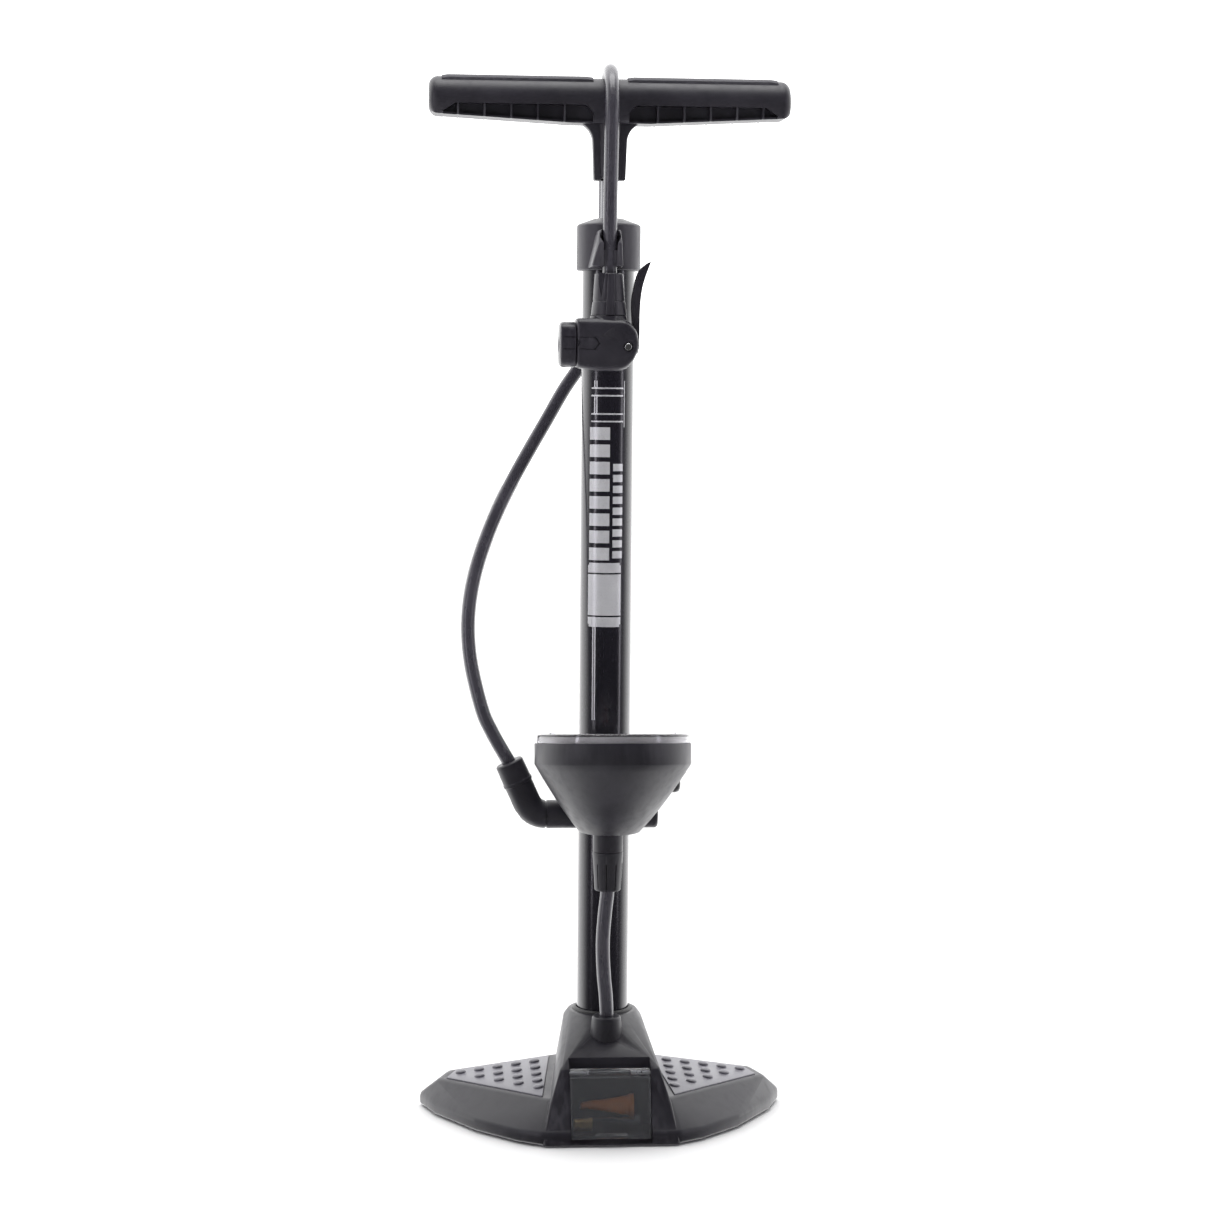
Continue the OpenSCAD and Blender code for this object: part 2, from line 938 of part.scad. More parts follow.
module head_body() color("DimGray")
    difference() {
        union() {
            head_block();
            translate([head_x - 0.8, head_y, head_z + 14])
                cylinder(r = 10.8, h = 4.5);
        }
        // slot for the lever, open to the right and above
        head_frame() {
            translate([-2.5, -slot_half, -11])
                cube([30, 2 * slot_half, 22]);
            translate([10.4, -slot_half, -20])
                cube([30, 2 * slot_half, 50]);
        }
        along_y(pin_x, head_y - 20, head_z)
            cylinder(r = 1.65, h = 40, $fn = 32);
        along_x(-23, head_y, head_z + 1)
            cylinder(r = 9.05, h = 21);
        translate([head_x, head_y, head_z])
            cylinder(r = 2, h = 30);
    }

module head_neck() color("DimGray")
    difference() {
        translate([0, head_y, 0])
            union() {
                translate([head_x - 0.4, 0, head_z + 18.6])
                    cylinder(r1 = 10.6, r2 = 9.7, h = 7);
                translate([head_x - 0.4, 0, head_z + 25.6])
                    cylinder(r1 = 9.3, r2 = 8.5, h = 18);
            }
        translate([head_x, head_y, head_z])
            cylinder(r = 2, h = 60);
        translate([head_x, head_y, head_z + 28])
            cylinder(r = hose_r + 0.05, h = 30);
    }

module nozzle_cap() color("DimGray")
    difference() {
        union() {
            along_x(-31.6, head_y, head_z + 1)
                cylinder(r1 = 12.4, r2 = 13.6, h = 1.4);
            along_x(-30.2, head_y, head_z + 1)
                cylinder(r = 13.6, h = 8.1);
            for (a = [0:30:330])
                along_x(-30, head_y, head_z + 1)
                    rotate(a)
                        translate([13.2, -1.1, 0])
                            cube([1.1, 2.2, 7.8]);
        }
        along_x(-40, head_y, head_z + 1)
            cylinder(r = 4.3, h = 30);
        along_x(-26.8, head_y, head_z + 1)
            cylinder(r = 9.05, h = 10);
    }

module valve_grommet() color("Black")
    difference() {
        along_x(-26.75, head_y, head_z + 1)
            cylinder(r = 9, h = 12);
        along_x(-30, head_y, head_z + 1)
            cylinder(r = 4.4, h = 30);
    }

module head_plunger() color("Ivory")
    difference() {
        union() {
            along_x(-11.6, head_y, head_z + 1)
                cylinder(r = 8.95, h = 7);
            along_x(-4.7, head_y, head_z)
                cylinder(r = 4, h = pin_x - cam_low - 0.3 + 4.7);
        }
        along_x(-12, head_y, head_z + 1)
            cylinder(r = 2.2, h = 4);
    }

cam_low = 7.2;
cam_high = 9.6;

// cam end, arm and curved thumb tip, in X and Z about the pin
module lever_profile() {
    difference() {
        union() {
            circle(r = cam_low);
            polygon(concat([[0, 0]], [for (a = [0:10:90])
                let (r = cam_low + (cam_high - cam_low) * a / 90) [-r * cos(a), -r * sin(a)]]));
            polygon([[-2, 4], [3, 9], [2.7, 25], [3.6, 33], [6.4, 44], [11, 49], [13.8, 50.4], [10.4, 41],
                [8.4, 33], [7.4, 22], [7, 8], [6, -1]]);
        }
        circle(r = 1.7, $fn = 32);
    }
}

module head_lever() color("Black")
    translate([pin_x, head_y, head_z])
        rotate([90, 0, 0])
            translate([0, 0, -slot_half + 0.35])
                linear_extrude(height = 2 * slot_half - 0.7)
                    lever_profile();

module lever_pin() color("White")
    along_y(pin_x, head_y - 13.2, head_z)
        cylinder(r = 1.6, h = 26.4, $fn = 32);

// ---- hoses ----

main_route = [[-1.6, -30, 500.2], [-1.6, -30, 520], [-1.6, -30, 545], [-1.4, -30, 570], [-1.1, -29.5, 592],
    [-0.9, -29, 606], [-0.6, -26.5, 617], [-0.4, -21.3, 626.5], [-0.2, -14, 633], [0, -5, 636.7],
    [0, 4, 637.1], [0, 13, 633.6], [0, 20.5, 626.5], [0, 25.2, 616.5], [0, 27, 604], [0, 27.3, 585],
    [0, 27.3, 560], [0, 27.3, 535], [-0.5, 27.3, 512], [-2.5, 27.3, 494], [-7.5, 27.2, 476], [-15, 26.6, 461],
    [-25, 25, 446], [-35.7, 21.5, 427.5], [-46.6, 16.5, 409], [-56.8, 11, 391], [-66, 5, 373],
    [-73.7, -0.5, 354.7], [-79.6, -6, 336.8], [-83.3, -11, 319], [-84.5, -16, 301.3], [-83.1, -21, 283.6],
    [-79.4, -26, 266], [-75.2, -30, 251.5], [-70.9, -32, 242.4], [-67, -33.2, 235.2], [-63.6, -33.9, 229.4],
    [-60.19, -34, 223.58], [-57.75, -34, 218.1], [-55.31, -34, 212.62]];

lower_route = [[0, -34, 160], [0, -34, 146], [-1.4, -34.2, 132], [-2.5, -34.6, 118], [-2.6, -34.8, 106],
    [-1.8, -34.6, 92], [-0.6, -34.2, 80], [0, -34, 68], [0, -34, 52.5]];

function unit(v) = v / norm(v);
function lerp(a, b, t) = a + (b - a) * t;

// Catmull-Rom curve through the route's points
function curve(p, i, t) =
    let (a = i == 0 ? 2 * p[0] - p[1] : p[i - 1], b = p[i], c = p[i + 1],
        d = i + 2 < len(p) ? p[i + 2] : 2 * p[i + 1] - p[i])
    0.5 * (2 * b + (c - a) * t + (2 * a - 5 * b + 4 * c - d) * t * t + (3 * b - a - 3 * c + d) * t * t * t);

function smooth(p, per) = concat(
    [for (i = [0:len(p) - 2]) for (k = [0:per - 1]) curve(p, i, k / per)], [p[len(p) - 1]]);

function heading(p, i) = unit(i == 0 ? p[1] - p[0] : i == len(p) - 1 ? p[i] - p[i - 1] : p[i + 1] - p[i - 1]);

module hose_sweep(route, per, sides) {
    p = smooth(route, per);
    n = len(p);
    points = [for (i = [0:n - 1])
        let (h = heading(p, i), u = unit(cross(h, [0.9, -0.3, 0.12])), v = cross(h, u))
            for (j = [0:sides - 1])
                p[i] + hose_r * (cos(360 * j / sides) * u + sin(360 * j / sides) * v)];
    polyhedron(points = points, faces = concat(
        [[for (j = [sides - 1:-1:0]) j]],
        [for (i = [0:n - 2]) for (j = [0:sides - 1])
            [i * sides + j, i * sides + (j + 1) % sides, (i + 1) * sides + (j + 1) % sides, (i + 1) * sides + j]],
        [[for (j = [0:sides - 1]) (n - 1) * sides + j]]));
}

module main_hose() color([0.12, 0.12, 0.13])
    hose_sweep(main_route, 1, 12);

module lower_hose() color([0.12, 0.12, 0.13])
    hose_sweep(lower_route, 1, 12);

base_shell();
tread_pads();
rubber_feet();
barrel_trim_ring();
foot_plug();
foot_oring();
check_poppet();
check_spring();
base_screws();
outlet_elbow();
base_hose_sleeve();
storage_lid();
lid_pins();
bladder_adaptor();
ball_needle();
valve_adaptor();
barrel_tube();
top_cap();
rod_bush();
wiper_seal();
piston_rod();
piston();
piston_cup();
piston_washer();
piston_nut();
bump_stop();
handle_body();
handle_grips();
handle_screw();
gauge_carrier();
clamp_strap();
clamp_screws();
gauge_housing();
gauge_lens();
gauge_dial();
movement_plate();
bourdon_tube();
sector_gear();
pointer();
hose_elbow();
side_plug();
release_button();
button_spring();
lower_connector();
lower_sleeve();
head_body();
head_neck();
nozzle_cap();
valve_grommet();
head_plunger();
head_lever();
lever_pin();
main_hose();
lower_hose();
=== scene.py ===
import math

import bmesh
import bpy
from mathutils import Matrix, Vector


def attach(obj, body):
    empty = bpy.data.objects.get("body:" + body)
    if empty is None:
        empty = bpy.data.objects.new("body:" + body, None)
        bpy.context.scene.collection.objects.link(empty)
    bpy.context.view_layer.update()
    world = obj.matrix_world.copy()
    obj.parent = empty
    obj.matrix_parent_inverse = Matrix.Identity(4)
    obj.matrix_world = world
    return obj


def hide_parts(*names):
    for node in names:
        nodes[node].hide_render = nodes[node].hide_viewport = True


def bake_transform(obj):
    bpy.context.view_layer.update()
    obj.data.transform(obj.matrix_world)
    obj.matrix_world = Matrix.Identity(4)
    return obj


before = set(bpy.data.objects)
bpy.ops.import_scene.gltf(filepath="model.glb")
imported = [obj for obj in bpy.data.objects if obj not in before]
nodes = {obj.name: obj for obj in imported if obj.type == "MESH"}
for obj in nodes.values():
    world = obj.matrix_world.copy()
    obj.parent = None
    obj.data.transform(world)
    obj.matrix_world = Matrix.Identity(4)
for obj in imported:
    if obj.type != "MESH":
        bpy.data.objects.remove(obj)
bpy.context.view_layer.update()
scene = bpy.context.scene

# Lengths below are in millimetres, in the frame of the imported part, and become metres in new_object().
MM = 0.001
AXIS = 0.01
BARREL_R = 15.9
BARREL_FOOT = 24
BARREL_TOP = 538
HOSE_R = 4.25
HOSE_BORE = 4.3
PIPE_Y = -34.0
PIPE_Z = 191.7
BUTTON_Z = 210
GAUGE_AT = (0.0, -64.5, 226.3)
GAUGE_R = 46.3
GAUGE_TILT = math.radians(-8)
LENS_SEAT = 12.6
DIAL_TOP = 11.6
HEAD_Y = -30.0
HEAD_AT = (0.0, HEAD_Y, 472.0)
NOZZLE_Z = 473
PIN_X = 8.8
BAR_Z = 619.0
BAR_R = 13.6
GRIP_W = 8.2


def set_inputs(node, **values):
    """Sets a shader node's inputs by name, with _ for each space."""
    for key, value in values.items():
        node.inputs[key.replace("_", " ")].default_value = value


# ---------------------------------------------------------------- camera and light


def set_camera():
    yaw = math.radians(4.634)
    pitch = math.radians(5.203)
    roll = math.radians(0.5)
    data = bpy.data.cameras.new("camera")
    data.sensor_width = 36
    data.lens = 75.35
    data.clip_end = 50
    camera = bpy.data.objects.new("camera", data)
    scene.collection.objects.link(camera)
    place = Vector((-1.55 * math.sin(math.radians(4.6)), -1.55 * math.cos(math.radians(4.6)), 0.455))
    turn = Matrix.Rotation(-yaw, 4, "Z") @ Matrix.Rotation(math.pi / 2 - pitch, 4, "X")
    camera.matrix_world = Matrix.Translation(place) @ turn @ Matrix.Rotation(roll, 4, "Z")
    scene.camera = camera


def area_light(name, place, target, size, power, tint=(1, 1, 1)):
    data = bpy.data.lights.new(name, "AREA")
    data.shape = "RECTANGLE"
    data.size = size[0]
    data.size_y = size[1]
    data.energy = power
    data.color = tint
    light = bpy.data.objects.new(name, data)
    light.location = place
    light.rotation_euler = (Vector(target) - Vector(place)).to_track_quat("-Z", "Y").to_euler()
    scene.collection.objects.link(light)


def set_light():
    """White cyclorama behind, dark room in front: the black parts get bright rims and quiet faces."""
    world = bpy.data.worlds.new("studio")
    world.use_nodes = True
    tree = world.node_tree
    tree.nodes["Background"].inputs["Color"].default_value = (1, 1, 1, 1)
    place = tree.nodes.new("ShaderNodeTexCoord")
    split = tree.nodes.new("ShaderNodeSeparateXYZ")
    fade = tree.nodes.new("ShaderNodeMapRange")
    fade.interpolation_type = "SMOOTHSTEP"
    set_inputs(fade, From_Min=-0.35, From_Max=0.45, To_Min=0.05, To_Max=2.3)
    tree.links.new(place.outputs["Generated"], split.inputs["Vector"])
    tree.links.new(split.outputs["Y"], fade.inputs["Value"])
    tree.links.new(fade.outputs["Result"], tree.nodes["Background"].inputs["Strength"])
    scene.world = world
    scene.view_settings.view_transform = "Standard"
    scene.view_settings.look = "None"
    area_light("strip_left", (-1.1, -0.75, 0.5), (0, 0, 0.35), (0.10, 1.3), 2.5, (0.94, 0.91, 1))
    area_light("strip_right", (1.2, -0.6, 0.5), (0, 0, 0.35), (0.14, 1.3), 2.2, (0.94, 0.91, 1))
    area_light("top", (0, -0.1, 1.8), (0, 0, 0.2), (1.2, 0.8), 12)


def floor():
    bm = bmesh.new()
    corners = [(-9000, -9000, -0.02), (9000, -9000, -0.02), (9000, 9000, -0.02), (-9000, 9000, -0.02)]
    bm.faces.new([bm.verts.new(c) for c in corners])
    plane = new_object("floor", bm, "floor")
    plane.visible_glossy = False


# ---------------------------------------------------------------- materials


def flat_material(name, colour, rough):
    material = bpy.data.materials.new(name)
    material.use_nodes = True
    shader = material.node_tree.nodes["Principled BSDF"]
    set_inputs(shader, Base_Color=(*colour, 1), Roughness=rough)
    return material


class Graph:
    """Short calls for building one material's node graph round its Principled shader."""

    def __init__(self, name):
        self.material = bpy.data.materials.new(name)
        self.material.use_nodes = True
        self.tree = self.material.node_tree
        self.shader = self.tree.nodes["Principled BSDF"]
        self.place = self.add("ShaderNodeTexCoord").outputs["Object"]

    def add(self, kind, **settings):
        node = self.tree.nodes.new(kind)
        for key, value in settings.items():
            setattr(node, key, value)
        return node

    def link(self, a, b):
        self.tree.links.new(a, b)

    def noise(self, scale, detail, stretch=(1, 1, 1)):
        mapping = self.add("ShaderNodeMapping")
        set_inputs(mapping, Scale=stretch)
        self.link(self.place, mapping.inputs["Vector"])
        texture = self.add("ShaderNodeTexNoise")
        set_inputs(texture, Scale=scale, Detail=detail, Roughness=0.55)
        self.link(mapping.outputs["Vector"], texture.inputs["Vector"])
        return texture.outputs["Fac"]

    def remap(self, value, low, high, out_low, out_high):
        node = self.add("ShaderNodeMapRange")
        set_inputs(node, From_Min=low, From_Max=high, To_Min=out_low, To_Max=out_high)
        self.link(value, node.inputs["Value"])
        return node.outputs["Result"]

    def math(self, operation, a, b):
        node = self.add("ShaderNodeMath", operation=operation)
        for socket, value in zip(node.inputs, (a, b)):
            if isinstance(value, (int, float)):
                socket.default_value = value
            else:
                self.link(value, socket)
        return node.outputs["Value"]

    def mix(self, factor, a, b):
        node = self.add("ShaderNodeMix", data_type="RGBA")
        self.link(factor, node.inputs["Factor"])
        for socket, value in ((node.inputs[6], a), (node.inputs[7], b)):
            if isinstance(value, tuple):
                socket.default_value = (*value, 1)
            else:
                self.link(value, socket)
        return node.outputs[2]

    def edges(self):
        geometry = self.add("ShaderNodeNewGeometry")
        return self.remap(geometry.outputs["Pointiness"], 0.515, 0.6, 0.0, 1.0)

    def bump(self, height, strength, distance):
        node = self.add("ShaderNodeBump")
        set_inputs(node, Strength=strength, Distance=distance)
        self.link(height, node.inputs["Height"])
        self.link(node.outputs["Normal"], self.shader.inputs["Normal"])

    def colour(self, socket):
        self.link(socket, self.shader.inputs["Base Color"])

    def rough(self, socket):
        self.link(socket, self.shader.inputs["Roughness"])


def moulded(name, colour, rough=0.42, grain=1.0, wear=0.5, specular=0.5, grain_scale=2600):
    """Moulded plastic or rubber: fine grain, cloudy gloss and paler worn edges."""
    g = Graph(name)
    cloud = g.noise(38, 5)
    fine = g.noise(grain_scale, 2)
    scuff = g.noise(260, 3, (1, 1, 0.12))
    lighter = tuple(min(1, c * 1.35 + 0.006) for c in colour)
    worn = tuple(min(1, c * 2.2 + 0.035) for c in colour)
    body = g.mix(g.remap(cloud, 0.35, 0.7, 0, 1), colour, lighter)
    edge = g.math("MULTIPLY", g.edges(), g.remap(scuff, 0.4, 0.65, 0.0, wear))
    g.colour(g.mix(edge, body, worn))
    base = g.remap(cloud, 0.3, 0.7, rough - 0.05, rough + 0.06)
    g.rough(g.math("ADD", base, g.remap(scuff, 0.45, 0.75, -0.03, 0.07)))
    g.bump(fine, 0.10 * grain, 0.0002)
    set_inputs(g.shader, Specular_IOR_Level=specular)
    return g.material


def metal(name, colour, rough=0.25, stretch=(1, 1, 1), scratch=0.08):
    """Bare metal: machining streaks along the stretch and cloudy tarnish."""
    g = Graph(name)
    lines = g.noise(420, 3, stretch)
    cloud = g.noise(60, 4)
    darker = tuple(c * 0.82 for c in colour)
    g.colour(g.mix(g.remap(cloud, 0.3, 0.7, 0, 1), colour, darker))
    streaks = g.remap(lines, 0.3, 0.7, rough - 0.04, rough + 0.08)
    g.rough(g.math("ADD", streaks, g.remap(cloud, 0.4, 0.8, 0, 0.06)))
    g.bump(lines, scratch, 0.00005)
    set_inputs(g.shader, Metallic=1.0)
    return g.material


def gloss_paint(name, colour):
    """Sprayed and lacquered tube: near-mirror coat with slight orange peel, fine dust and hairlines."""
    g = Graph(name)
    peel = g.noise(320, 2)
    hair = g.noise(900, 3, (1, 1, 0.02))
    dust = g.noise(1500, 2)
    g.colour(g.mix(g.remap(dust, 0.66, 0.8, 0, 0.35), colour, (0.09, 0.09, 0.095)))
    g.rough(g.math("ADD", g.remap(peel, 0.3, 0.7, 0.20, 0.26), g.remap(hair, 0.5, 0.8, 0.0, 0.08)))
    g.bump(peel, 0.05, 0.0001)
    set_inputs(g.shader, Coat_Weight=0.5, Coat_Roughness=0.14, Specular_IOR_Level=0.55)
    return g.material


def clear_plastic(name, tint, rough, clarity=0.92):
    """Clear moulding: faint haze, hairline scratches and a slight tint."""
    g = Graph(name)
    haze = g.noise(55, 4)
    hair = g.noise(500, 3, (1, 0.08, 0.3))
    g.rough(g.math("ADD", g.remap(haze, 0.3, 0.7, rough, rough + 0.06), g.remap(hair, 0.5, 0.8, 0, 0.04)))
    g.colour(g.mix(g.remap(haze, 0.3, 0.8, 0, 0.4), tint, tuple(c * 0.8 for c in tint)))
    g.bump(hair, 0.008, 0.0001)
    set_inputs(g.shader, Transmission_Weight=clarity, IOR=1.49)
    return g.material


def silver_print(name):
    """Printed silver ink: slightly metallic, speckled and cloudy."""
    g = Graph(name)
    specks = g.noise(2200, 2)
    cloud = g.noise(70, 3)
    g.colour(g.mix(g.remap(cloud, 0.3, 0.7, 0, 1), (0.70, 0.70, 0.73), (0.80, 0.80, 0.82)))
    g.rough(g.remap(specks, 0.3, 0.7, 0.26, 0.42))
    g.bump(specks, 0.05, 0.00005)
    set_inputs(g.shader, Metallic=0.3)
    return g.material


materials = {
    "floor": flat_material("floor", (0.93, 0.93, 0.93), 0.7),
    "base": moulded("base_plastic", (0.017, 0.0155, 0.022), 0.42),
    "tread": moulded("tread_rubber", (0.110, 0.106, 0.126), 0.42, 1.6, 0.7, 0.6, 1700),
    "foot": moulded("foot_rubber", (0.020, 0.020, 0.020), 0.75, 1.5),
    "trim": moulded("trim_rubber", (0.014, 0.014, 0.015), 0.5),
    "seal": moulded("seal_rubber", (0.014, 0.014, 0.014), 0.4),
    "inner": moulded("inner_plastic", (0.62, 0.58, 0.48), 0.4, 0.6, 0.1),
    "spring": metal("spring_steel", (0.55, 0.55, 0.57), 0.25),
    "screw": metal("screw_steel", (0.6, 0.6, 0.62), 0.28),
    "plug": metal("plug_aluminium", (0.72, 0.72, 0.74), 0.3, (1, 1, 8)),
    "brass": metal("brass", (0.72, 0.52, 0.24), 0.27, (1, 1, 6)),
    "sleeve": moulded("sleeve_rubber", (0.021, 0.020, 0.026), 0.46),
    "lid": clear_plastic("lid_smoke", (0.60, 0.61, 0.64), 0.10),
    "orange": moulded("adaptor_orange", (0.80, 0.24, 0.02), 0.35, 0.5, 0.1),
    "needle": metal("needle_steel", (0.75, 0.75, 0.77), 0.15),
    "barrel": gloss_paint("barrel_paint", (0.014, 0.0125, 0.020)),
    "print": silver_print("silver_print"),
    "cap": moulded("cap_plastic", (0.047, 0.044, 0.055), 0.42),
    "rod": metal("rod_chrome", (0.16, 0.16, 0.17), 0.14, (1, 1, 0.05), 0.04),
    "handle": moulded("handle_plastic", (0.024, 0.022, 0.030), 0.42),
    "grip": moulded("grip_rubber", (0.046, 0.044, 0.054), 0.60, 2.2, 0.5, 0.3, 1500),
    "gauge": moulded("gauge_plastic", (0.018, 0.0165, 0.023), 0.45),
    "lens": clear_plastic("lens_clear", (0.80, 0.79, 0.82), 0.04, 0.95),
    "dial": moulded("dial_print", (0.78, 0.78, 0.76), 0.5, 0.4, 0.0),
    "ink": moulded("dial_ink", (0.012, 0.012, 0.013), 0.5, 0.4, 0.0),
    "red": moulded("pointer_red", (0.62, 0.03, 0.02), 0.35, 0.4, 0.1),
    "button": moulded("button_plastic", (0.022, 0.022, 0.024), 0.36),
    "head": moulded("head_plastic", (0.025, 0.023, 0.031), 0.36),
    "lever": moulded("lever_plastic", (0.024, 0.022, 0.029), 0.28),
    "pin": metal("pin_aluminium", (0.85, 0.85, 0.86), 0.2),
    "hose": moulded("hose_rubber", (0.052, 0.049, 0.062), 0.27, 0.7, 0.3, 0.8, 1900),
}


# ---------------------------------------------------------------- mesh helpers


def new_object(name, bm, material=None):
    """Turns a millimetre bmesh into an object in metres, with its faces turned outwards."""
    bmesh.ops.recalc_face_normals(bm, faces=bm.faces)
    mesh = bpy.data.meshes.new(name)
    bm.to_mesh(mesh)
    bm.free()
    mesh.transform(Matrix.Scale(MM, 4))
    obj = bpy.data.objects.new(name, mesh)
    scene.collection.objects.link(obj)
    if material:
        mesh.materials.append(materials[material])
    return obj


def smooth(obj, degrees=33):
    mesh = obj.data
    mesh.polygons.foreach_set("use_smooth", [True] * len(mesh.polygons))
    mesh.set_sharp_from_angle(angle=math.radians(degrees))


def bake(obj):
    """Applies obj's modifiers to its mesh."""
    depsgraph = bpy.context.evaluated_depsgraph_get()
    mesh = bpy.data.meshes.new_from_object(obj.evaluated_get(depsgraph))
    obj.modifiers.clear()
    obj.data = mesh


def combine(obj, shapes, operation="DIFFERENCE"):
    """Cuts meshes or objects from obj, or joins them to it, one after the other, and uses them up."""
    for shape in shapes:
        other = new_object("shape", shape) if isinstance(shape, bmesh.types.BMesh) else shape
        modifier = obj.modifiers.new("cut", "BOOLEAN")
        modifier.operation = operation
        modifier.solver = "EXACT"
        modifier.object = other
        bake(obj)
        bpy.data.objects.remove(other)


def join_into(obj, other):
    """Adds other's mesh to obj's as a separate shell, and removes other."""
    bm = bmesh.new()
    bm.from_mesh(obj.data)
    bm.from_mesh(other.data)
    bm.to_mesh(obj.data)
    bm.free()
    bpy.data.objects.remove(other)


def add_bevel(obj, width, segments, degrees):
    modifier = obj.modifiers.new("round", "BEVEL")
    modifier.width = width * MM
    modifier.segments = segments
    modifier.limit_method = "ANGLE"
    modifier.angle_limit = math.radians(degrees)


def round_edges(obj, width, segments, degrees):
    add_bevel(obj, width, segments, degrees)
    bake(obj)
    return obj


def clean(obj):
    """Merges points that lie on each other, drops faces without area and closes pinholes."""
    bm = bmesh.new()
    bm.from_mesh(obj.data)
    bmesh.ops.remove_doubles(bm, verts=bm.verts, dist=0.000001)
    bmesh.ops.dissolve_degenerate(bm, edges=bm.edges, dist=0.0000005)
    rims = [e for e in bm.edges if e.is_boundary]
    if rims:
        bmesh.ops.holes_fill(bm, edges=rims, sides=0)
    bm.to_mesh(obj.data)
    bm.free()


def piece(obj, body, replaced, degrees=33):
    """Finishes a mesh and lets it ride on a body, in place of the CAD nodes that it replaces."""
    clean(obj)
    smooth(obj, degrees)
    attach(obj, body)
    if replaced:
        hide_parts(*replaced)


def bridge(bm, lower, upper):
    """Band of quads between two rings of vertices."""
    count = len(lower)
    for i in range(count):
        bm.faces.new((lower[i], lower[(i + 1) % count], upper[(i + 1) % count], upper[i]))


def loft(rings, closed=False):
    """Skin over rings with the same count of points; the ends are capped unless it closes on itself."""
    bm = bmesh.new()
    made = [[bm.verts.new(p) for p in ring] for ring in rings]
    for lower, upper in zip(made, made[1:]):
        bridge(bm, lower, upper)
    if closed:
        bridge(bm, made[-1], made[0])
    else:
        bm.faces.new(list(reversed(made[0])))
        bm.faces.new(made[-1])
    return bm


def axes(direction):
    """Two directions square to the given one, and that one itself, all of length one."""
    w = Vector(direction).normalized()
    u = w.cross(Vector((0.31, 0.93, 0.17))).normalized()
    if abs(w.z) > 0.9:
        u = Vector((1, 0, 0))
        u = (u - w * u.dot(w)).normalized()
    return u, w.cross(u), w


UP = (0, 0, 1)
ALONG_X = (1, 0, 0)


def full_turn(count):
    """Evenly spaced angles once round."""
    return [2 * math.pi * k / count for k in range(count)]


def lathe(profile, place=(0, 0, 0), direction=UP, sides=96, closed=False):
    """Turned solid from (radius, height) pairs. A closed profile makes a ring with a hole."""
    u, v, w = axes(direction)
    spokes = [u * math.cos(a) + v * math.sin(a) for a in full_turn(sides)]
    rings = [[Vector(place) + w * h + s * max(r, 0.001) for s in spokes] for r, h in profile]
    return loft(rings, closed)


def closed_lathe(profile, place, direction, sides=80):
    """Turned cup: the profile starts and ends at the same open rim, whose gap is bridged."""
    bm = lathe(profile, place, direction, sides)
    caps = [f for f in bm.faces if len(f.verts) > 4]
    bmesh.ops.delete(bm, geom=caps, context="FACES")
    rim = [e for e in bm.edges if e.is_boundary]
    bmesh.ops.bridge_loops(bm, edges=rim)
    return bm


def rounded(profile, radius, steps=4):
    """The open (radius, height) profile with each inner corner rounded off."""
    out = [profile[0]]
    for before, here, after in zip(profile, profile[1:], profile[2:]):
        a, b, c = Vector(before), Vector(here), Vector(after)
        into, away = (a - b), (c - b)
        cut = min(radius, into.length * 0.45, away.length * 0.45)
        start = b + into.normalized() * cut
        end = b + away.normalized() * cut
        for k in range(steps + 1):
            t = k / steps
            out.append(tuple(start * (1 - t) ** 2 + b * 2 * t * (1 - t) + end * t * t))
    out.append(profile[-1])
    return out


def block(x0, x1, y0, y1, z0, z1):
    bm = bmesh.new()
    bmesh.ops.create_cube(bm, size=1)
    for vert in bm.verts:
        vert.co = Vector((
            x0 if vert.co.x < 0 else x1,
            y0 if vert.co.y < 0 else y1,
            z0 if vert.co.z < 0 else z1,
        ))
    return bm


def convex(points, bevel=0.0, segments=3, degrees=12):
    bm = bmesh.new()
    for p in points:
        bm.verts.new(p)
    bmesh.ops.convex_hull(bm, input=bm.verts)
    loose = [v for v in bm.verts if not v.link_faces]
    bmesh.ops.delete(bm, geom=loose, context="VERTS")
    bmesh.ops.dissolve_limit(bm, angle_limit=math.radians(0.7), verts=bm.verts, edges=bm.edges)
    if bevel:
        sharp = [e for e in bm.edges if e.calc_face_angle(0) > math.radians(degrees)]
        bmesh.ops.bevel(bm, geom=sharp, offset=bevel, segments=segments, profile=0.5, affect="EDGES",
                        clamp_overlap=True)
    return bm


def prism(outline, low, high, lay=None):
    """Straight extrusion of a flat outline between two heights, then laid in place by the matrix."""
    bm = loft([[Vector((x, y, low)) for x, y in outline], [Vector((x, y, high)) for x, y in outline]])
    if lay is not None:
        bm.transform(lay)
    return bm


def rod(start, end, radius, sides=48):
    start, end = Vector(start), Vector(end)
    return lathe([(radius, 0), (radius, (end - start).length)], start, end - start, sides)


def from_cad(node, material, bevel=0.25):
    """A CAD node that shows as it is, with its edges eased and a material in its slot."""
    obj = nodes[node]
    obj.data.materials.clear()
    obj.data.materials.append(materials[material])
    smooth(obj)
    if bevel:
        add_bevel(obj, bevel, 2, 40)


# ---------------------------------------------------------------- hoses

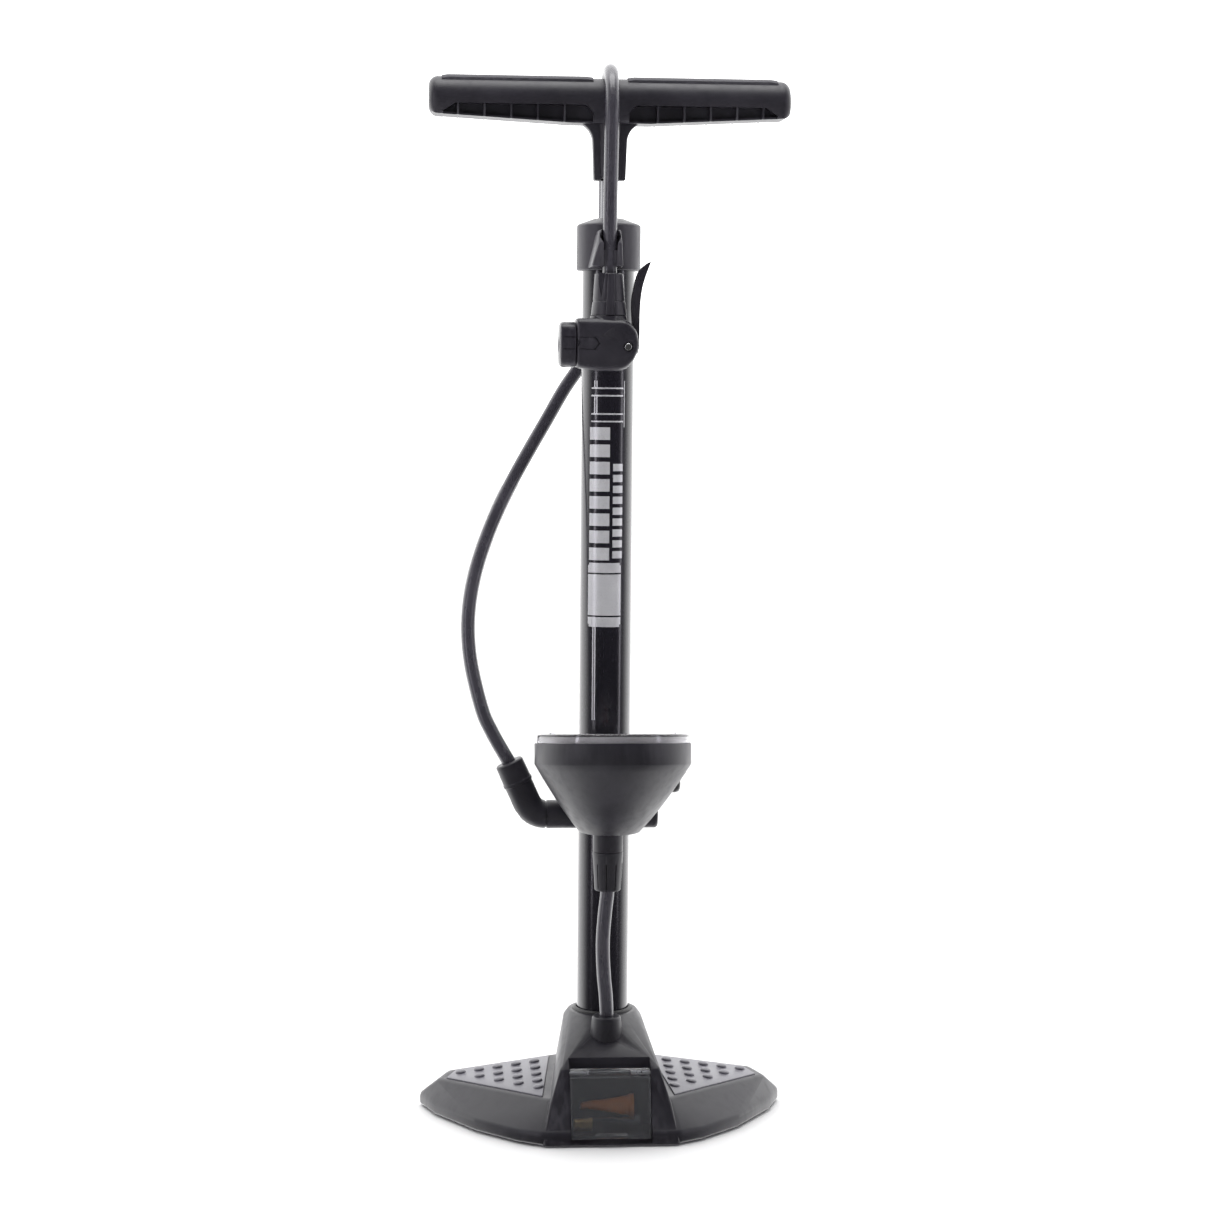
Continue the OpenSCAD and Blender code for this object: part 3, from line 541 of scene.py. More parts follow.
MAIN_ROUTE = [
    (-1.6, -30, 500.2), (-1.6, -30, 520), (-1.6, -30, 545), (-1.4, -30, 570), (-1.1, -29.5, 592),
    (-0.9, -29, 606), (-0.6, -26.5, 617), (-0.4, -21.3, 626.5), (-0.2, -14, 633), (0, -5, 636.7),
    (0, 4, 637.1), (0, 13, 633.6), (0, 20.5, 626.5), (0, 25.2, 616.5), (0, 27, 604), (0, 27.3, 585),
    (0, 27.3, 560), (0, 27.3, 535), (-0.5, 27.3, 512), (-2.5, 27.3, 494), (-7.5, 27.2, 476), (-15, 26.6, 461),
    (-25, 25, 446), (-35.7, 21.5, 427.5), (-46.6, 16.5, 409), (-56.8, 11, 391), (-66, 5, 373),
    (-73.7, -0.5, 354.7), (-79.6, -6, 336.8), (-83.3, -11, 319), (-84.5, -16, 301.3), (-83.1, -21, 283.6),
    (-79.4, -26, 266), (-75.2, -30, 251.5), (-70.9, -32, 242.4), (-67, -33.2, 235.2), (-63.6, -33.9, 229.4),
    (-60.19, -34, 223.58), (-57.75, -34, 218.1), (-55.31, -34, 212.62),
]
LOWER_ROUTE = [
    (0, -34, 160), (0, -34, 146), (-1.4, -34.2, 132), (-2.5, -34.6, 118), (-2.6, -34.8, 106),
    (-1.8, -34.6, 92), (-0.6, -34.2, 80), (0, -34, 68), (0, -34, 52.5),
]


def curve_points(route, per):
    """Smooth curve through the route's points, in steps of one over per."""
    p = [Vector(q) for q in route]
    p = [2 * p[0] - p[1]] + p + [2 * p[-1] - p[-2]]
    out = []
    for a, b, c, d in zip(p, p[1:], p[2:], p[3:]):
        for k in range(per):
            t = k / per
            out.append(0.5 * (2 * b + (c - a) * t + (2 * a - 5 * b + 4 * c - d) * t**2
                              + (3 * b - a - 3 * c + d) * t**3))
    out.append(p[-2])
    return out


def sweep(path, radius, sides=28):
    """Round tube along the path, turned from ring to ring so that it doesn't twist."""
    count = len(path)
    heads = [(path[min(i + 1, count - 1)] - path[max(i - 1, 0)]).normalized() for i in range(count)]
    u = axes(heads[0])[0]
    rings = []
    for point, head in zip(path, heads):
        u = (u - head * u.dot(head)).normalized()
        v = head.cross(u)
        rings.append([point + (u * math.cos(a) + v * math.sin(a)) * radius for a in full_turn(sides)])
    return loft(rings)


def make_hoses():
    path = curve_points(MAIN_ROUTE, 6)
    main = new_object("hose_main", sweep(path, HOSE_R), "hose")
    smooth(main)
    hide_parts("main_hose")
    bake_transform(main)
    path = curve_points(LOWER_ROUTE, 6)
    lower = new_object("hose_lower", sweep(path, HOSE_R), "hose")
    piece(lower, "pump", ["lower_hose"])


# ---------------------------------------------------------------- base

WING_FOOT = [
    (18, -80.8), (41, -79.6), (56, -71), (80, -48), (104, -12), (113, 12), (109, 22), (96, 28), (18, 32),
]
WING_TREAD = [(18, -50), (36, -62), (101.5, 0.5), (94, 15), (28, 21), (18, 21)]
PAD = [(40, -56.5), (97, -1.5), (91, 11), (32, 17)]
RIM_Z = 1.2
TREAD_TOP = 31.45
TREAD_FALL = 0.113
TREAD_RISE = 0.055
SLOPE_TOP = (-64.2, 43.6)
SLOPE_FOOT = (-81.5, 1.2)
LID_ANGLE = math.atan2(SLOPE_TOP[0] - SLOPE_FOOT[0], SLOPE_TOP[1] - SLOPE_FOOT[1])
HINGE_DROP = 3.2


def tread_z(x, y):
    return TREAD_TOP - TREAD_FALL * abs(x) + TREAD_RISE * y


def tread_plane(side):
    """Matrix that lays a flat drawing on the left or right wing's tread plane."""
    lay = Matrix.Translation((0, 0, TREAD_TOP))
    lay = lay @ Matrix.Rotation(math.atan(TREAD_RISE), 4, "X")
    return lay @ Matrix.Rotation(math.atan(TREAD_FALL) * side, 4, "Y")


def slope_plane():
    """Matrix that lays a drawing on the tower's front slope: X across, Y into the base, Z up the slope."""
    return Matrix.Translation((0, *SLOPE_TOP)) @ Matrix.Rotation(-LID_ANGLE, 4, "X")


def wing_points(side, inset=0.0, drop=0.0, floor_z=RIM_Z):
    """Corners of one wing, or of the smaller space under it when drawn in and lowered."""
    points = []
    for x, y in WING_FOOT + WING_TREAD:
        qx, qy = x + (58 - x) * inset, y + (-14 - y) * inset
        if (x, y) in WING_FOOT:
            points += [(side * qx, qy, floor_z), (side * qx, qy, 8 - drop * 0.6)]
        else:
            points.append((side * qx, qy, tread_z(qx, qy) - drop))
    return points


def tower_points():
    """Corners of the tower: a round collar above, spreading to the lid's slope and the floor."""
    points = []
    for a in full_turn(64):
        for r, top in ((24, 60), (21, 64)):
            points += [(r * math.cos(a), r * math.sin(a), z) for z in (RIM_Z, top)]
    for s in (-1, 1):
        points += [
            (s * 30, SLOPE_TOP[0], SLOPE_TOP[1] - 1.2),
            (s * 28.5, SLOPE_TOP[0] + 2, SLOPE_TOP[1] + 0.4),
            (s * 36.5, -71.5, 23),
            (s * 41, SLOPE_FOOT[0], RIM_Z),
            (s * 31, 30, RIM_Z),
        ]
    return points


def grow(outline, by):
    """The outline with each corner moved away from the middle."""
    cx = sum(p[0] for p in outline) / len(outline)
    cy = sum(p[1] for p in outline) / len(outline)
    out = []
    for x, y in outline:
        far = math.hypot(x - cx, y - cy)
        out.append((x + (x - cx) / far * by, y + (y - cy) / far * by))
    return out


def make_base():
    base = new_object("base_body", convex(tower_points(), 1.6, 3, 14), "base")
    combine(base, [convex(wing_points(s), 1.8, 4, 14) for s in (-1, 1)], "UNION")
    cuts = []
    for s in (-1, 1):
        outline = [(x * s, y) for x, y in grow(PAD, 0.2)]
        cuts.append(prism(outline, -0.9, 6, tread_plane(s)))
        cuts.append(convex([p for p in wing_points(s, 0.06, 2.6, -5) if abs(p[0]) > 27]))
    lay = slope_plane()
    seat = block(-24.4, 24.4, -5, 2.3, -44.5, 5)
    seat.transform(lay)
    trough = block(-24.4, 24.4, -5, 6.8, -HINGE_DROP, 12)
    trough.transform(lay)
    hinge = rod((-24.4, HINGE_DROP, -HINGE_DROP), (24.4, HINGE_DROP, -HINGE_DROP), 3.6)
    hinge.transform(lay)
    cuts += [seat, trough, hinge]
    cuts.append(block(-22.5, 22.5, -90, -45, 6, 39.5))
    cuts.append(lathe([(16.0, BARREL_FOOT), (16.0, 90)]))
    cuts.append(lathe([(20.1, -5), (20.1, BARREL_FOOT + 0.02)]))
    cuts.append(lathe(rounded([(18.6, 60.8), (18.6, 66), (19.6, 70), (19.6, 75)], 1)))
    cuts.append(rod((0, PIPE_Y, 20), (0, PIPE_Y, 80), 5.2))
    combine(base, cuts)
    round_edges(base, 0.3, 2, 40)
    piece(base, "pump", ["base_shell"], 30)


def make_treads():
    bm = bmesh.new()
    for s in (-1, 1):
        outline = [(x * s, y) for x, y in PAD]
        pad = new_object("pad", prism(outline, -0.8, 0.75, tread_plane(s)))
        round_edges(pad, 0.5, 3, 40)
        bm.from_mesh(pad.data)
        bpy.data.objects.remove(pad)
    bmesh.ops.scale(bm, vec=(1 / MM,) * 3, verts=bm.verts)
    treads = new_object("tread_pad_pair", bm, "tread")
    dome = rounded([(3.25, -0.5), (3.25, 0.35), (2.6, 1.15), (0.9, 1.45), (AXIS, 1.5)], 0.5, 3)
    for s in (-1, 1):
        for column in range(5):
            for row in range(5 - column):
                x = 41.5 + column * 11.5
                y = 9 - row * 12.2 - column * 0.9
                place = (s * x, y, tread_z(x, y) + 0.75)
                normal = (s * TREAD_FALL, -TREAD_RISE, 1)
                stud = new_object("stud", lathe(dome, place, normal, 28))
                join_into(treads, stud)
    piece(treads, "pump", ["tread_pads"], 40)


def make_base_fittings():
    ring = [(16.0, 61), (18.5, 61), (18.5, 64.3), (17.3, 65.6), (16.4, 65.6), (16.0, 65.0)]
    trim = new_object("trim_ring", lathe(ring, closed=True), "trim")
    piece(trim, "pump", ["barrel_trim_ring"], 50)
    profile = [(5.1, 52), (9.8, 48.8), (9.8, 55), (9.5, 61), (8.8, 66.6), (8.2, 67.5)]
    profile = rounded(profile + [(HOSE_BORE, 67.5), (HOSE_BORE, 52)], 0.5, 3)
    skin = lathe(profile, (0, PIPE_Y, 0), closed=True)
    sleeve = new_object("base_strain_relief", skin, "sleeve")
    piece(sleeve, "pump", ["base_hose_sleeve"], 40)


def make_lid():
    lid = new_object("store_lid", block(-24, 24, 0, 2, -42, -HINGE_DROP), "lid")
    round_edges(lid, 0.7, 3, 40)
    left, right = Vector((-24, HINGE_DROP, -HINGE_DROP)), Vector((24, HINGE_DROP, -HINGE_DROP))
    roll = new_object("roll", rod(left, right, HINGE_DROP, 40))
    round_edges(roll, 0.4, 2, 40)
    section = ((-3, -41.8), (-2.4, -39.8), (0.5, -38.2), (0.5, -42))
    lip = convex([(x, y, z) for x in (-9.6, 9.6) for y, z in section], 0.5, 2)
    combine(lid, [roll, lip], "UNION")
    pin_hole = rod((-30, HINGE_DROP, -HINGE_DROP), (30, HINGE_DROP, -HINGE_DROP), 1.15, 24)
    combine(lid, [pin_hole])
    lid.data.transform(Matrix.Scale(MM, 4) @ slope_plane() @ Matrix.Scale(1 / MM, 4))
    piece(lid, "lid", ["storage_lid"], 35)


def make_spares():
    cone = [(AXIS, -16), (1.7, -16), (2.3, -10), (4.2, 2), (5.6, 11), (6.4, 11.2), (6.4, 14), (AXIS, 14)]
    cone = lathe(rounded(cone, 0.5, 3), (0, -58, 19), ALONG_X, 48)
    piece(new_object("orange_cone", cone, "orange"), "pump", ["bladder_adaptor"])
    from_cad("ball_needle", "needle", 0.15)
    from_cad("valve_adaptor", "brass", 0.2)


# ---------------------------------------------------------------- barrel and plunger


def wrapped(patches, radius):
    """Printed film: rectangles of arc length and height, wrapped round the barrel as thin closed slabs."""
    bm = bmesh.new()
    for s0, s1, z0, z1 in patches:
        steps = max(1, int((s1 - s0) / 0.6))
        rings = []
        for k in range(steps + 1):
            a = (s0 + (s1 - s0) * k / steps) / BARREL_R - math.pi / 2
            section = ((radius, z0), (radius, z1), (radius - 0.06, z1), (radius - 0.06, z0))
            rings.append([bm.verts.new((r * math.cos(a), r * math.sin(a), z)) for r, z in section])
        for lower, upper in zip(rings, rings[1:]):
            bridge(bm, lower, upper)
        bm.faces.new(rings[0])
        bm.faces.new(rings[-1])
    return bm


def make_barrel():
    bore = BARREL_R - 1.2
    tube = [(bore, BARREL_FOOT), (BARREL_R, BARREL_FOOT), (BARREL_R, BARREL_TOP), (bore, BARREL_TOP)]
    shell = new_object("barrel_shell", lathe(tube, closed=True, sides=160), "barrel")
    piece(shell, "pump", ["barrel_tube"], 50)
    gaps = ((246, 303), (448, 452), (432.4, 442.5))
    stripes = [(s0, s0 + 0.6, z0, z1) for s0 in (-9.5, -8.0) for z0, z1 in gaps]
    stripes.append((9.6, 10.1, 424, 452))
    emblem = [(-11.5, 9.0, z, z + 0.9) for z in (427, 431.5, 442.5, 447)]
    blocks = [(-12.4, 0.6, 416.4 - 10.4 * k, 424 - 10.4 * k) for k in range(8)]
    small_blocks = [(2.6, 9.0, 397.6 - 6.6 * k, 402 - 6.6 * k) for k in range(9)]
    plate = [(-12.2, 7.5, 303, 304.5), (-13, 8.3, 304.5, 309), (-13, 8.3, 310, 335), (-13, 8.3, 336, 340.5),
             (-12.2, 7.5, 340.5, 342)]
    film = stripes + emblem + blocks + small_blocks + plate
    piece(new_object("printed_stripes", wrapped(film, BARREL_R + 0.03), "print"), "pump", [])


def make_cap():
    outer = rounded([(16.0, 518), (18.7, 518), (19.4, 518.8), (19.4, 544.9), (18.3, 545.9), (8.6, 549.4),
                     (6.4, 549.4)], 0.8, 4)
    inner = [(6.4, 541.2), (8.6, 541.1), (8.6, 538.4), (16.0, 538.3)]
    cap = new_object("cap_body", lathe(outer + inner, closed=True), "cap")
    x = -1.6
    corners = [
        (-12, -14, 519), (8.4, -14, 519), (-11, -35, 519.5), (7.6, -35, 519.5), (-7.4, -12, 541),
        (7.4, -12, 541), (-6.4, -31, 541), (6.4, -31, 541), (-6.8, -36.6, 533), (6.8, -36.6, 533),
    ]
    clip = convex([(x + a, y, z) for a, y, z in corners], 0.9, 3)
    combine(cap, [clip], "UNION")
    flare = ((3.9, -34), (5.2, -45))
    mouth = convex([(x + s * a, y, z) for s in (-1, 1) for a, y in flare for z in (515, 560)])
    cuts = [
        lathe([(16.0, 500), (16.0, 538.3)]),
        rod((x, HEAD_Y, 510), (x, HEAD_Y, 560), 4.6),
        mouth,
        lathe([(4.4, -8), (6.4, 0), (4.4, 8)], (x, -33, 537), UP, 48),
    ]
    combine(cap, cuts)
    round_edges(cap, 0.25, 2, 45)
    piece(cap, "pump", ["top_cap"], 35)


def make_plunger():
    profile = [(5.0, 114), (5.0, 622), (2.6, 622), (2.6, 598), (3.8, 590), (3.8, 128)]
    tube = new_object("rod_tube", lathe(profile, closed=True, sides=64), "rod")
    piece(tube, "plunger", ["piston_rod"], 50)
    make_handle()
    from_cad("piston", "inner")
    from_cad("piston_cup", "seal")
    from_cad("piston_washer", "screw", 0.15)
    from_cad("piston_nut", "screw")
    from_cad("bump_stop", "seal")
    from_cad("handle_screw", "screw")


def foot_rise(x):
    """How far the bar's flat foot has risen at x: none beside the stem, most at the ends."""
    return 4.2 * max(0, min(1, (abs(x) - 24) / 78))


def bar_rings():
    """The T-bar: round above, flatter sides and a flat foot below that rises towards the ends."""
    end, corner = 108.8, 5.5
    turns = [math.pi / 2 * k / 8 for k in range(8, -1, -1)]
    stations = [(end - corner * (1 - math.sin(a)), corner * (1 - math.cos(a))) for a in turns]
    stations = [(-x, d) for x, d in stations] + [(x, 0) for x in range(-96, 100, 12)] + stations[::-1]
    rings = []
    for x, shrink in sorted(stations):
        size = BAR_R - shrink
        low = -BAR_R + foot_rise(x) + shrink
        ring = [(size * math.cos(math.pi * k / 56), size * math.sin(math.pi * k / 56)) for k in range(57)]
        side = [(0.985, -2.5), (0.95, low * 0.55), (0.9, low + 1.6), (0.8, low)]
        ring += [(-size * share, z) for share, z in side]
        ring += [(size * share, z) for share, z in reversed(side)]
        rings.append([Vector((x, y, BAR_Z + z)) for y, z in ring])
    return rings


def flange_top(x):
    return BAR_Z - BAR_R + 1.25 + foot_rise(x)


def pocket_roof(x):
    """Height of the recess ceiling: level, and drawn down at both ends."""
    if x < 16:
        return 611 + 4.8 * math.sin(math.pi / 2 * (x - 10.8) / 5.2)
    return 615.8 - 4.6 * max(0, (x - 93) / 7.3)


def rib_pockets():
    """Recesses between the ribs; outside the lip they run out through the foot."""
    wall, lip = 6.5, 9.6
    rib_x = [28, 43.9, 59.8, 75.7, 91.5]
    starts = [10.8] + [x + 0.6 for x in rib_x]
    ends = [x - 0.6 for x in rib_x] + [100.3]
    cuts = []
    for x0, x1 in zip(starts, ends):
        stations = [x0] + [x for x in (12, 13.5, 16, 93, 97) if x0 < x < x1] + [x1]
        for s in (-1, 1):
            for front in (-1, 1):
                rings = []
                for x in stations:
                    low, roof = flange_top(x), pocket_roof(x)
                    ring = [(wall, low), (lip, low), (lip, low - 4), (30, low - 4), (30, roof), (wall, roof)]
                    rings.append([Vector((s * x, front * y, z)) for y, z in ring])
                cuts.append(new_object("pocket", loft(rings)))
    return cuts


def fillet_outline():
    """Half of the stem's flange, which flares into the bar with a hollow curve."""
    curve = []
    for k in range(13):
        a = math.pi / 2 * k / 12
        curve.append((22.5 - 12.2 * math.cos(a), 594.5 + 12.2 * math.sin(a)))
    return [(5, 572), (9.5, 572)] + curve + [(22.5, 609.5), (5, 609.5)]


def make_handle():
    bar = loft(bar_rings())
    bmesh.ops.triangulate(bar, faces=bar.faces)
    handle = new_object("handle_moulding", bar, "handle")
    lay = Matrix.Rotation(math.pi / 2, 4, "X")
    parts = []
    for s in (-1, 1):
        outline = [(s * x, z) for x, z in fillet_outline()]
        flange = new_object("flange", prism(outline, -5.2, 5.2, lay))
        round_edges(flange, 0.9, 3, 40)
        parts.append(flange)
    stem = rounded([(AXIS, 573), (6.6, 573), (7.6, 574), (7.9, 600), (8.6, 610), (AXIS, 610)], 0.8, 3)
    parts.append(lathe(stem, sides=72))
    combine(handle, parts, "UNION")
    bore = [(5.05, 560), (5.05, 622), (3.1, 622), (3.1, 627), (5.6, 627), (5.6, 650)]
    combine(handle, [lathe(bore)])
    gap = 0.08
    width = GRIP_W + gap
    for s in (-1, 1):
        seat = new_object("seat", grip_shell(s, gap, 6.0))
        combine(seat, [block(-110, 110, -width, width, BAR_Z + 5.4, BAR_Z + 30)], "INTERSECT")
        combine(handle, [seat])
    pockets = rib_pockets()
    for other in pockets[1:]:
        join_into(pockets[0], other)
    combine(handle, pockets[:1])
    round_edges(handle, 0.28, 2, 42)
    piece(handle, "plunger", ["handle_body"], 35)
    make_grips()


def grip_shell(side, gap, thick):
    """Sleeve round half of the bar, from which the grip inlay, or its seat in the bar, is cut."""
    low, high = 10.5 - gap, 101 + gap
    profile = [(12.4 - gap, low), (14.3 + thick, low), (14.8 + thick, low + 4), (14.8 + thick, high - 4),
               (14.3 + thick, high), (12.4 - gap, high)]
    return lathe([(r, h * side) for r, h in profile], (0, 0, BAR_Z), ALONG_X, 160, True)


def make_grips():
    grips = []
    for s in (-1, 1):
        grip = new_object("grip_inlay", grip_shell(s, 0, 0), "grip")
        combine(grip, [block(-110, 110, -GRIP_W, GRIP_W, BAR_Z + 5.6, BAR_Z + 30)], "INTERSECT")
        grips.append(round_edges(grip, 0.5, 3, 50))
    join_into(grips[0], grips[1])
    piece(grips[0], "plunger", ["handle_grips"], 40)


# ---------------------------------------------------------------- gauge


def gauge_plane():
    """Matrix that lays a drawing on the gauge's leaning face."""
    return Matrix.Translation(GAUGE_AT) @ Matrix.Rotation(GAUGE_TILT, 4, "X")


def funnel_rings(inset, bottom, sides=112):
    """Rings of the housing from its rim down to the small foot, bulging a little on the way."""
    lay = gauge_plane()
    turns = full_turn(sides)

    def ring(r, z):
        return [lay @ Vector((r * math.cos(a), r * math.sin(a), z)) for a in turns]

    def level_ring(r, y, z):
        return [Vector(((r - inset) * math.cos(a), y + (r - inset) * math.sin(a), z)) for a in turns]

    rings = [ring(GAUGE_R - inset, LENS_SEAT), ring(GAUGE_R - inset, 0.6)]
    top = ring(GAUGE_R - inset - 0.25, 0)
    middle = level_ring(33.0, -53.2, 204)
    low = level_ring(18.6, -42.5, bottom)
    steps = 14
    for k in range(steps + 1):
        t = k / steps
        rings.append([a * (1 - t) ** 2 + (2 * m - 0.5 * a - 0.5 * b) * 2 * t * (1 - t) + b * t * t
                      for a, m, b in zip(top, middle, low)])
    return rings


def pinch(ring):
    """The ring drawn in to its own centre, which closes the end of a skin."""
    centre = sum(ring, Vector()) / len(ring)
    return [centre + (p - centre) * 0.001 for p in ring]


def make_gauge_housing():
    outer = funnel_rings(0, 183)
    inner = funnel_rings(2.4, 185.6)
    outer.append(pinch(outer[-1]))
    inner.append(pinch(inner[-1]))
    housing = new_object("gauge_funnel", loft(outer + inner[::-1], True), "gauge")
    cuts = [
        block(-19, 19, -45, 20, 170, 206.2),
        lathe([(20.8, 170), (20.8, 208.4)]),
        rod((-60, PIPE_Y, PIPE_Z), (60, PIPE_Y, PIPE_Z), 8.8),
        rod((5, PIPE_Y, BUTTON_Z), (60, PIPE_Y, BUTTON_Z), 7.2),
    ]
    combine(housing, cuts)
    round_edges(housing, 0.35, 2, 40)
    piece(housing, "pump", ["gauge_housing"], 35)


def on_gauge(bm):
    bm.transform(gauge_plane())
    return bm


def make_lens():
    profile = [(43.9, LENS_SEAT), (46.1, LENS_SEAT), (46.1, 17.3), (45.3, 18.1), (AXIS, 18.1)]
    profile = rounded(profile, 0.5, 3)
    profile += [(AXIS, 16.3), (43.9, 16.3)]
    lens = new_object("lens_cap", on_gauge(lathe(profile, sides=128, closed=True)), "lens")
    lug_profile = rounded([(AXIS, 17.9), (1.7, 17.9), (1.7, 18.8), (AXIS, 18.9)], 0.3, 2)
    for x in (-36, 36):
        join_into(lens, new_object("lug", on_gauge(lathe(lug_profile, (x, 0, 0), sides=24))))
    piece(lens, "pump", ["gauge_lens"], 35)


def dial_angle(share):
    """Direction of a share of the scale, clockwise from lower left for a reader who stands in front."""
    return math.radians(225 - 266 * share)


def dial_number(words, angle):
    """One number of the scale as a thin mesh on the dial."""
    font = bpy.data.curves.new("number", "FONT")
    font.body = words
    font.size = 6.5
    font.align_x = "CENTER"
    font.align_y = "CENTER"
    font.extrude = 0.02
    text = bpy.data.objects.new("number", font)
    scene.collection.objects.link(text)
    bpy.context.view_layer.update()
    mesh = bpy.data.meshes.new_from_object(text.evaluated_get(bpy.context.evaluated_depsgraph_get()))
    bpy.data.objects.remove(text)
    place = Matrix.Translation((29.5 * math.cos(angle), 29.5 * math.sin(angle), DIAL_TOP + 0.04))
    mesh.transform(Matrix.Scale(MM, 4) @ gauge_plane() @ place)
    number = bpy.data.objects.new("number", mesh)
    scene.collection.objects.link(number)
    return number


def make_dial():
    profile = [(1.6, 10.4), (43.7, 10.4), (43.7, 16.1), (43.0, 16.1), (43.0, DIAL_TOP), (1.6, DIAL_TOP)]
    dial = new_object("dial_face", on_gauge(lathe(profile, closed=True)), "dial")
    piece(dial, "pump", ["gauge_dial"], 40)
    bm = bmesh.new()
    for k in range(81):
        a = dial_angle(k / 80)
        length, width = (6.0, 0.9) if k % 10 == 0 else (4.2, 0.5) if k % 5 == 0 else (2.8, 0.28)
        out = Vector((math.cos(a), math.sin(a), 0))
        side = Vector((-math.sin(a), math.cos(a), 0)) * width / 2
        inside, outside = out * (41 - length), out * 41
        corners = [inside - side, outside - side, outside + side, inside + side]
        lower = [bm.verts.new(c + Vector((0, 0, DIAL_TOP + 0.01))) for c in corners]
        upper = [bm.verts.new(c + Vector((0, 0, DIAL_TOP + 0.06))) for c in corners]
        bridge(bm, lower, upper)
        bm.faces.new(upper)
        bm.faces.new(list(reversed(lower)))
    marks = new_object("dial_marks", on_gauge(bm), "ink")
    for k in range(9):
        join_into(marks, dial_number(str(k * 20), dial_angle(k / 8)))
    piece(marks, "pump", [], 40)


def make_gauge_works():
    from_cad("pointer", "red", 0.12)
    for node in ("movement_plate", "bourdon_tube", "sector_gear"):
        from_cad(node, "brass", 0.12)
    from_cad("gauge_carrier", "gauge", 0.5)
    from_cad("clamp_strap", "gauge", 0.5)
    from_cad("clamp_screws", "screw", 0.3)
    from_cad("button_spring", "spring", 0)
    profile = [(AXIS, 24.5), (5.5, 24.5), (5.5, 40.5), (4.7, 42.4), (3.0, 43.3), (AXIS, 43.4)]
    button = lathe(rounded(profile, 0.6, 4), (0, PIPE_Y, BUTTON_Z), ALONG_X, 48)
    piece(new_object("button_cap", button, "button"), "button", ["release_button"])
    profile = rounded([(6.95, 18.7), (8.5, 18.7), (8.5, 28.2), (7.6, 29.5), (AXIS, 29.5)], 0.6, 4)
    profile += [(AXIS, 29.0), (6.95, 29.0)]
    plug = new_object("pipe_plug", closed_lathe(profile, (0, PIPE_Y, PIPE_Z), ALONG_X), "gauge")
    piece(plug, "pump", ["side_plug"])
    profile = rounded([(2.4, 169), (8.9, 169), (9.1, 169.4), (9.1, 183.9), (2.4, 183.9)], 0.3, 2)
    skin = lathe(profile, (0, PIPE_Y, 0), closed=True)
    piece(new_object("down_connector", skin, "gauge"), "pump", ["lower_connector"])


def make_lower_sleeve():
    outside = [(7.6, 145.1), (7.95, 145.8), (9.25, 167.8), (9.0, 168.9)]
    profile = rounded([(HOSE_BORE, 145.1)] + outside + [(HOSE_BORE, 168.9)], 0.4, 3)
    skin = lathe(profile, (0, PIPE_Y, 0), closed=True)
    sleeve = new_object("down_sleeve", skin, "sleeve")
    cuts = []
    for a in range(20, 380, 40):
        slot = block(7.4, 12, -0.35, 0.35, 146.6, 162)
        slot.transform(Matrix.Translation((0, PIPE_Y, 0)) @ Matrix.Rotation(math.radians(a), 4, "Z"))
        cuts.append(slot)
    combine(sleeve, cuts)
    round_edges(sleeve, 0.25, 2, 45)
    piece(sleeve, "pump", ["lower_sleeve"])


def make_elbow():
    bend = Vector((-46, PIPE_Y, PIPE_Z))
    lean = math.radians(24)
    up = Vector((-math.sin(lean), 0, math.cos(lean)))
    start, end = bend + Vector((8.5, 0, 0)), bend + up * 8.5
    path = [bend + Vector((26.9 - k * 2.3, 0, 0)) for k in range(8)]
    for k in range(11):
        t = k / 10
        path.append(start * (1 - t) ** 2 + bend * 2 * t * (1 - t) + end * t * t)
    path += [bend + up * h for h in (10.5, 13, 15.5, 18, 21, 23.4)]
    elbow = new_object("hose_elbow_body", sweep(path, 8.5, 72), "gauge")
    profile = [(AXIS, 20.5), (8.9, 20.5), (9.1, 21.1), (9.1, 22.3), (8.75, 22.9), (8.5, 34.1), (7.7, 34.9)]
    mouth = lathe(rounded(profile + [(AXIS, 34.9)], 0.4, 3), bend, up, 80)
    combine(elbow, [mouth], "UNION")
    seam = [(7.9, -38.4), (9.5, -38.4), (9.5, -37.2), (7.9, -37.2)]
    cuts = [
        rod(bend + up * 22.9, bend + up * 42, HOSE_BORE),
        rod((-60, PIPE_Y, PIPE_Z), (-10, PIPE_Y, PIPE_Z), 2.5),
        rod((-31.05, PIPE_Y, PIPE_Z), (-10, PIPE_Y, PIPE_Z), 6.95),
        lathe(seam, (0, PIPE_Y, PIPE_Z), ALONG_X, 72, True),
    ]
    combine(elbow, cuts)
    round_edges(elbow, 0.3, 2, 45)
    piece(elbow, "pump", ["hose_elbow"])


# ---------------------------------------------------------------- valve head

GROOVES_Z = (470.5, 477.5)


def head_plane():
    """Lays a drawing in X and Z about the head's centre, with its thickness along Y."""
    return Matrix.Translation(HEAD_AT) @ Matrix.Rotation(math.pi / 2, 4, "X")


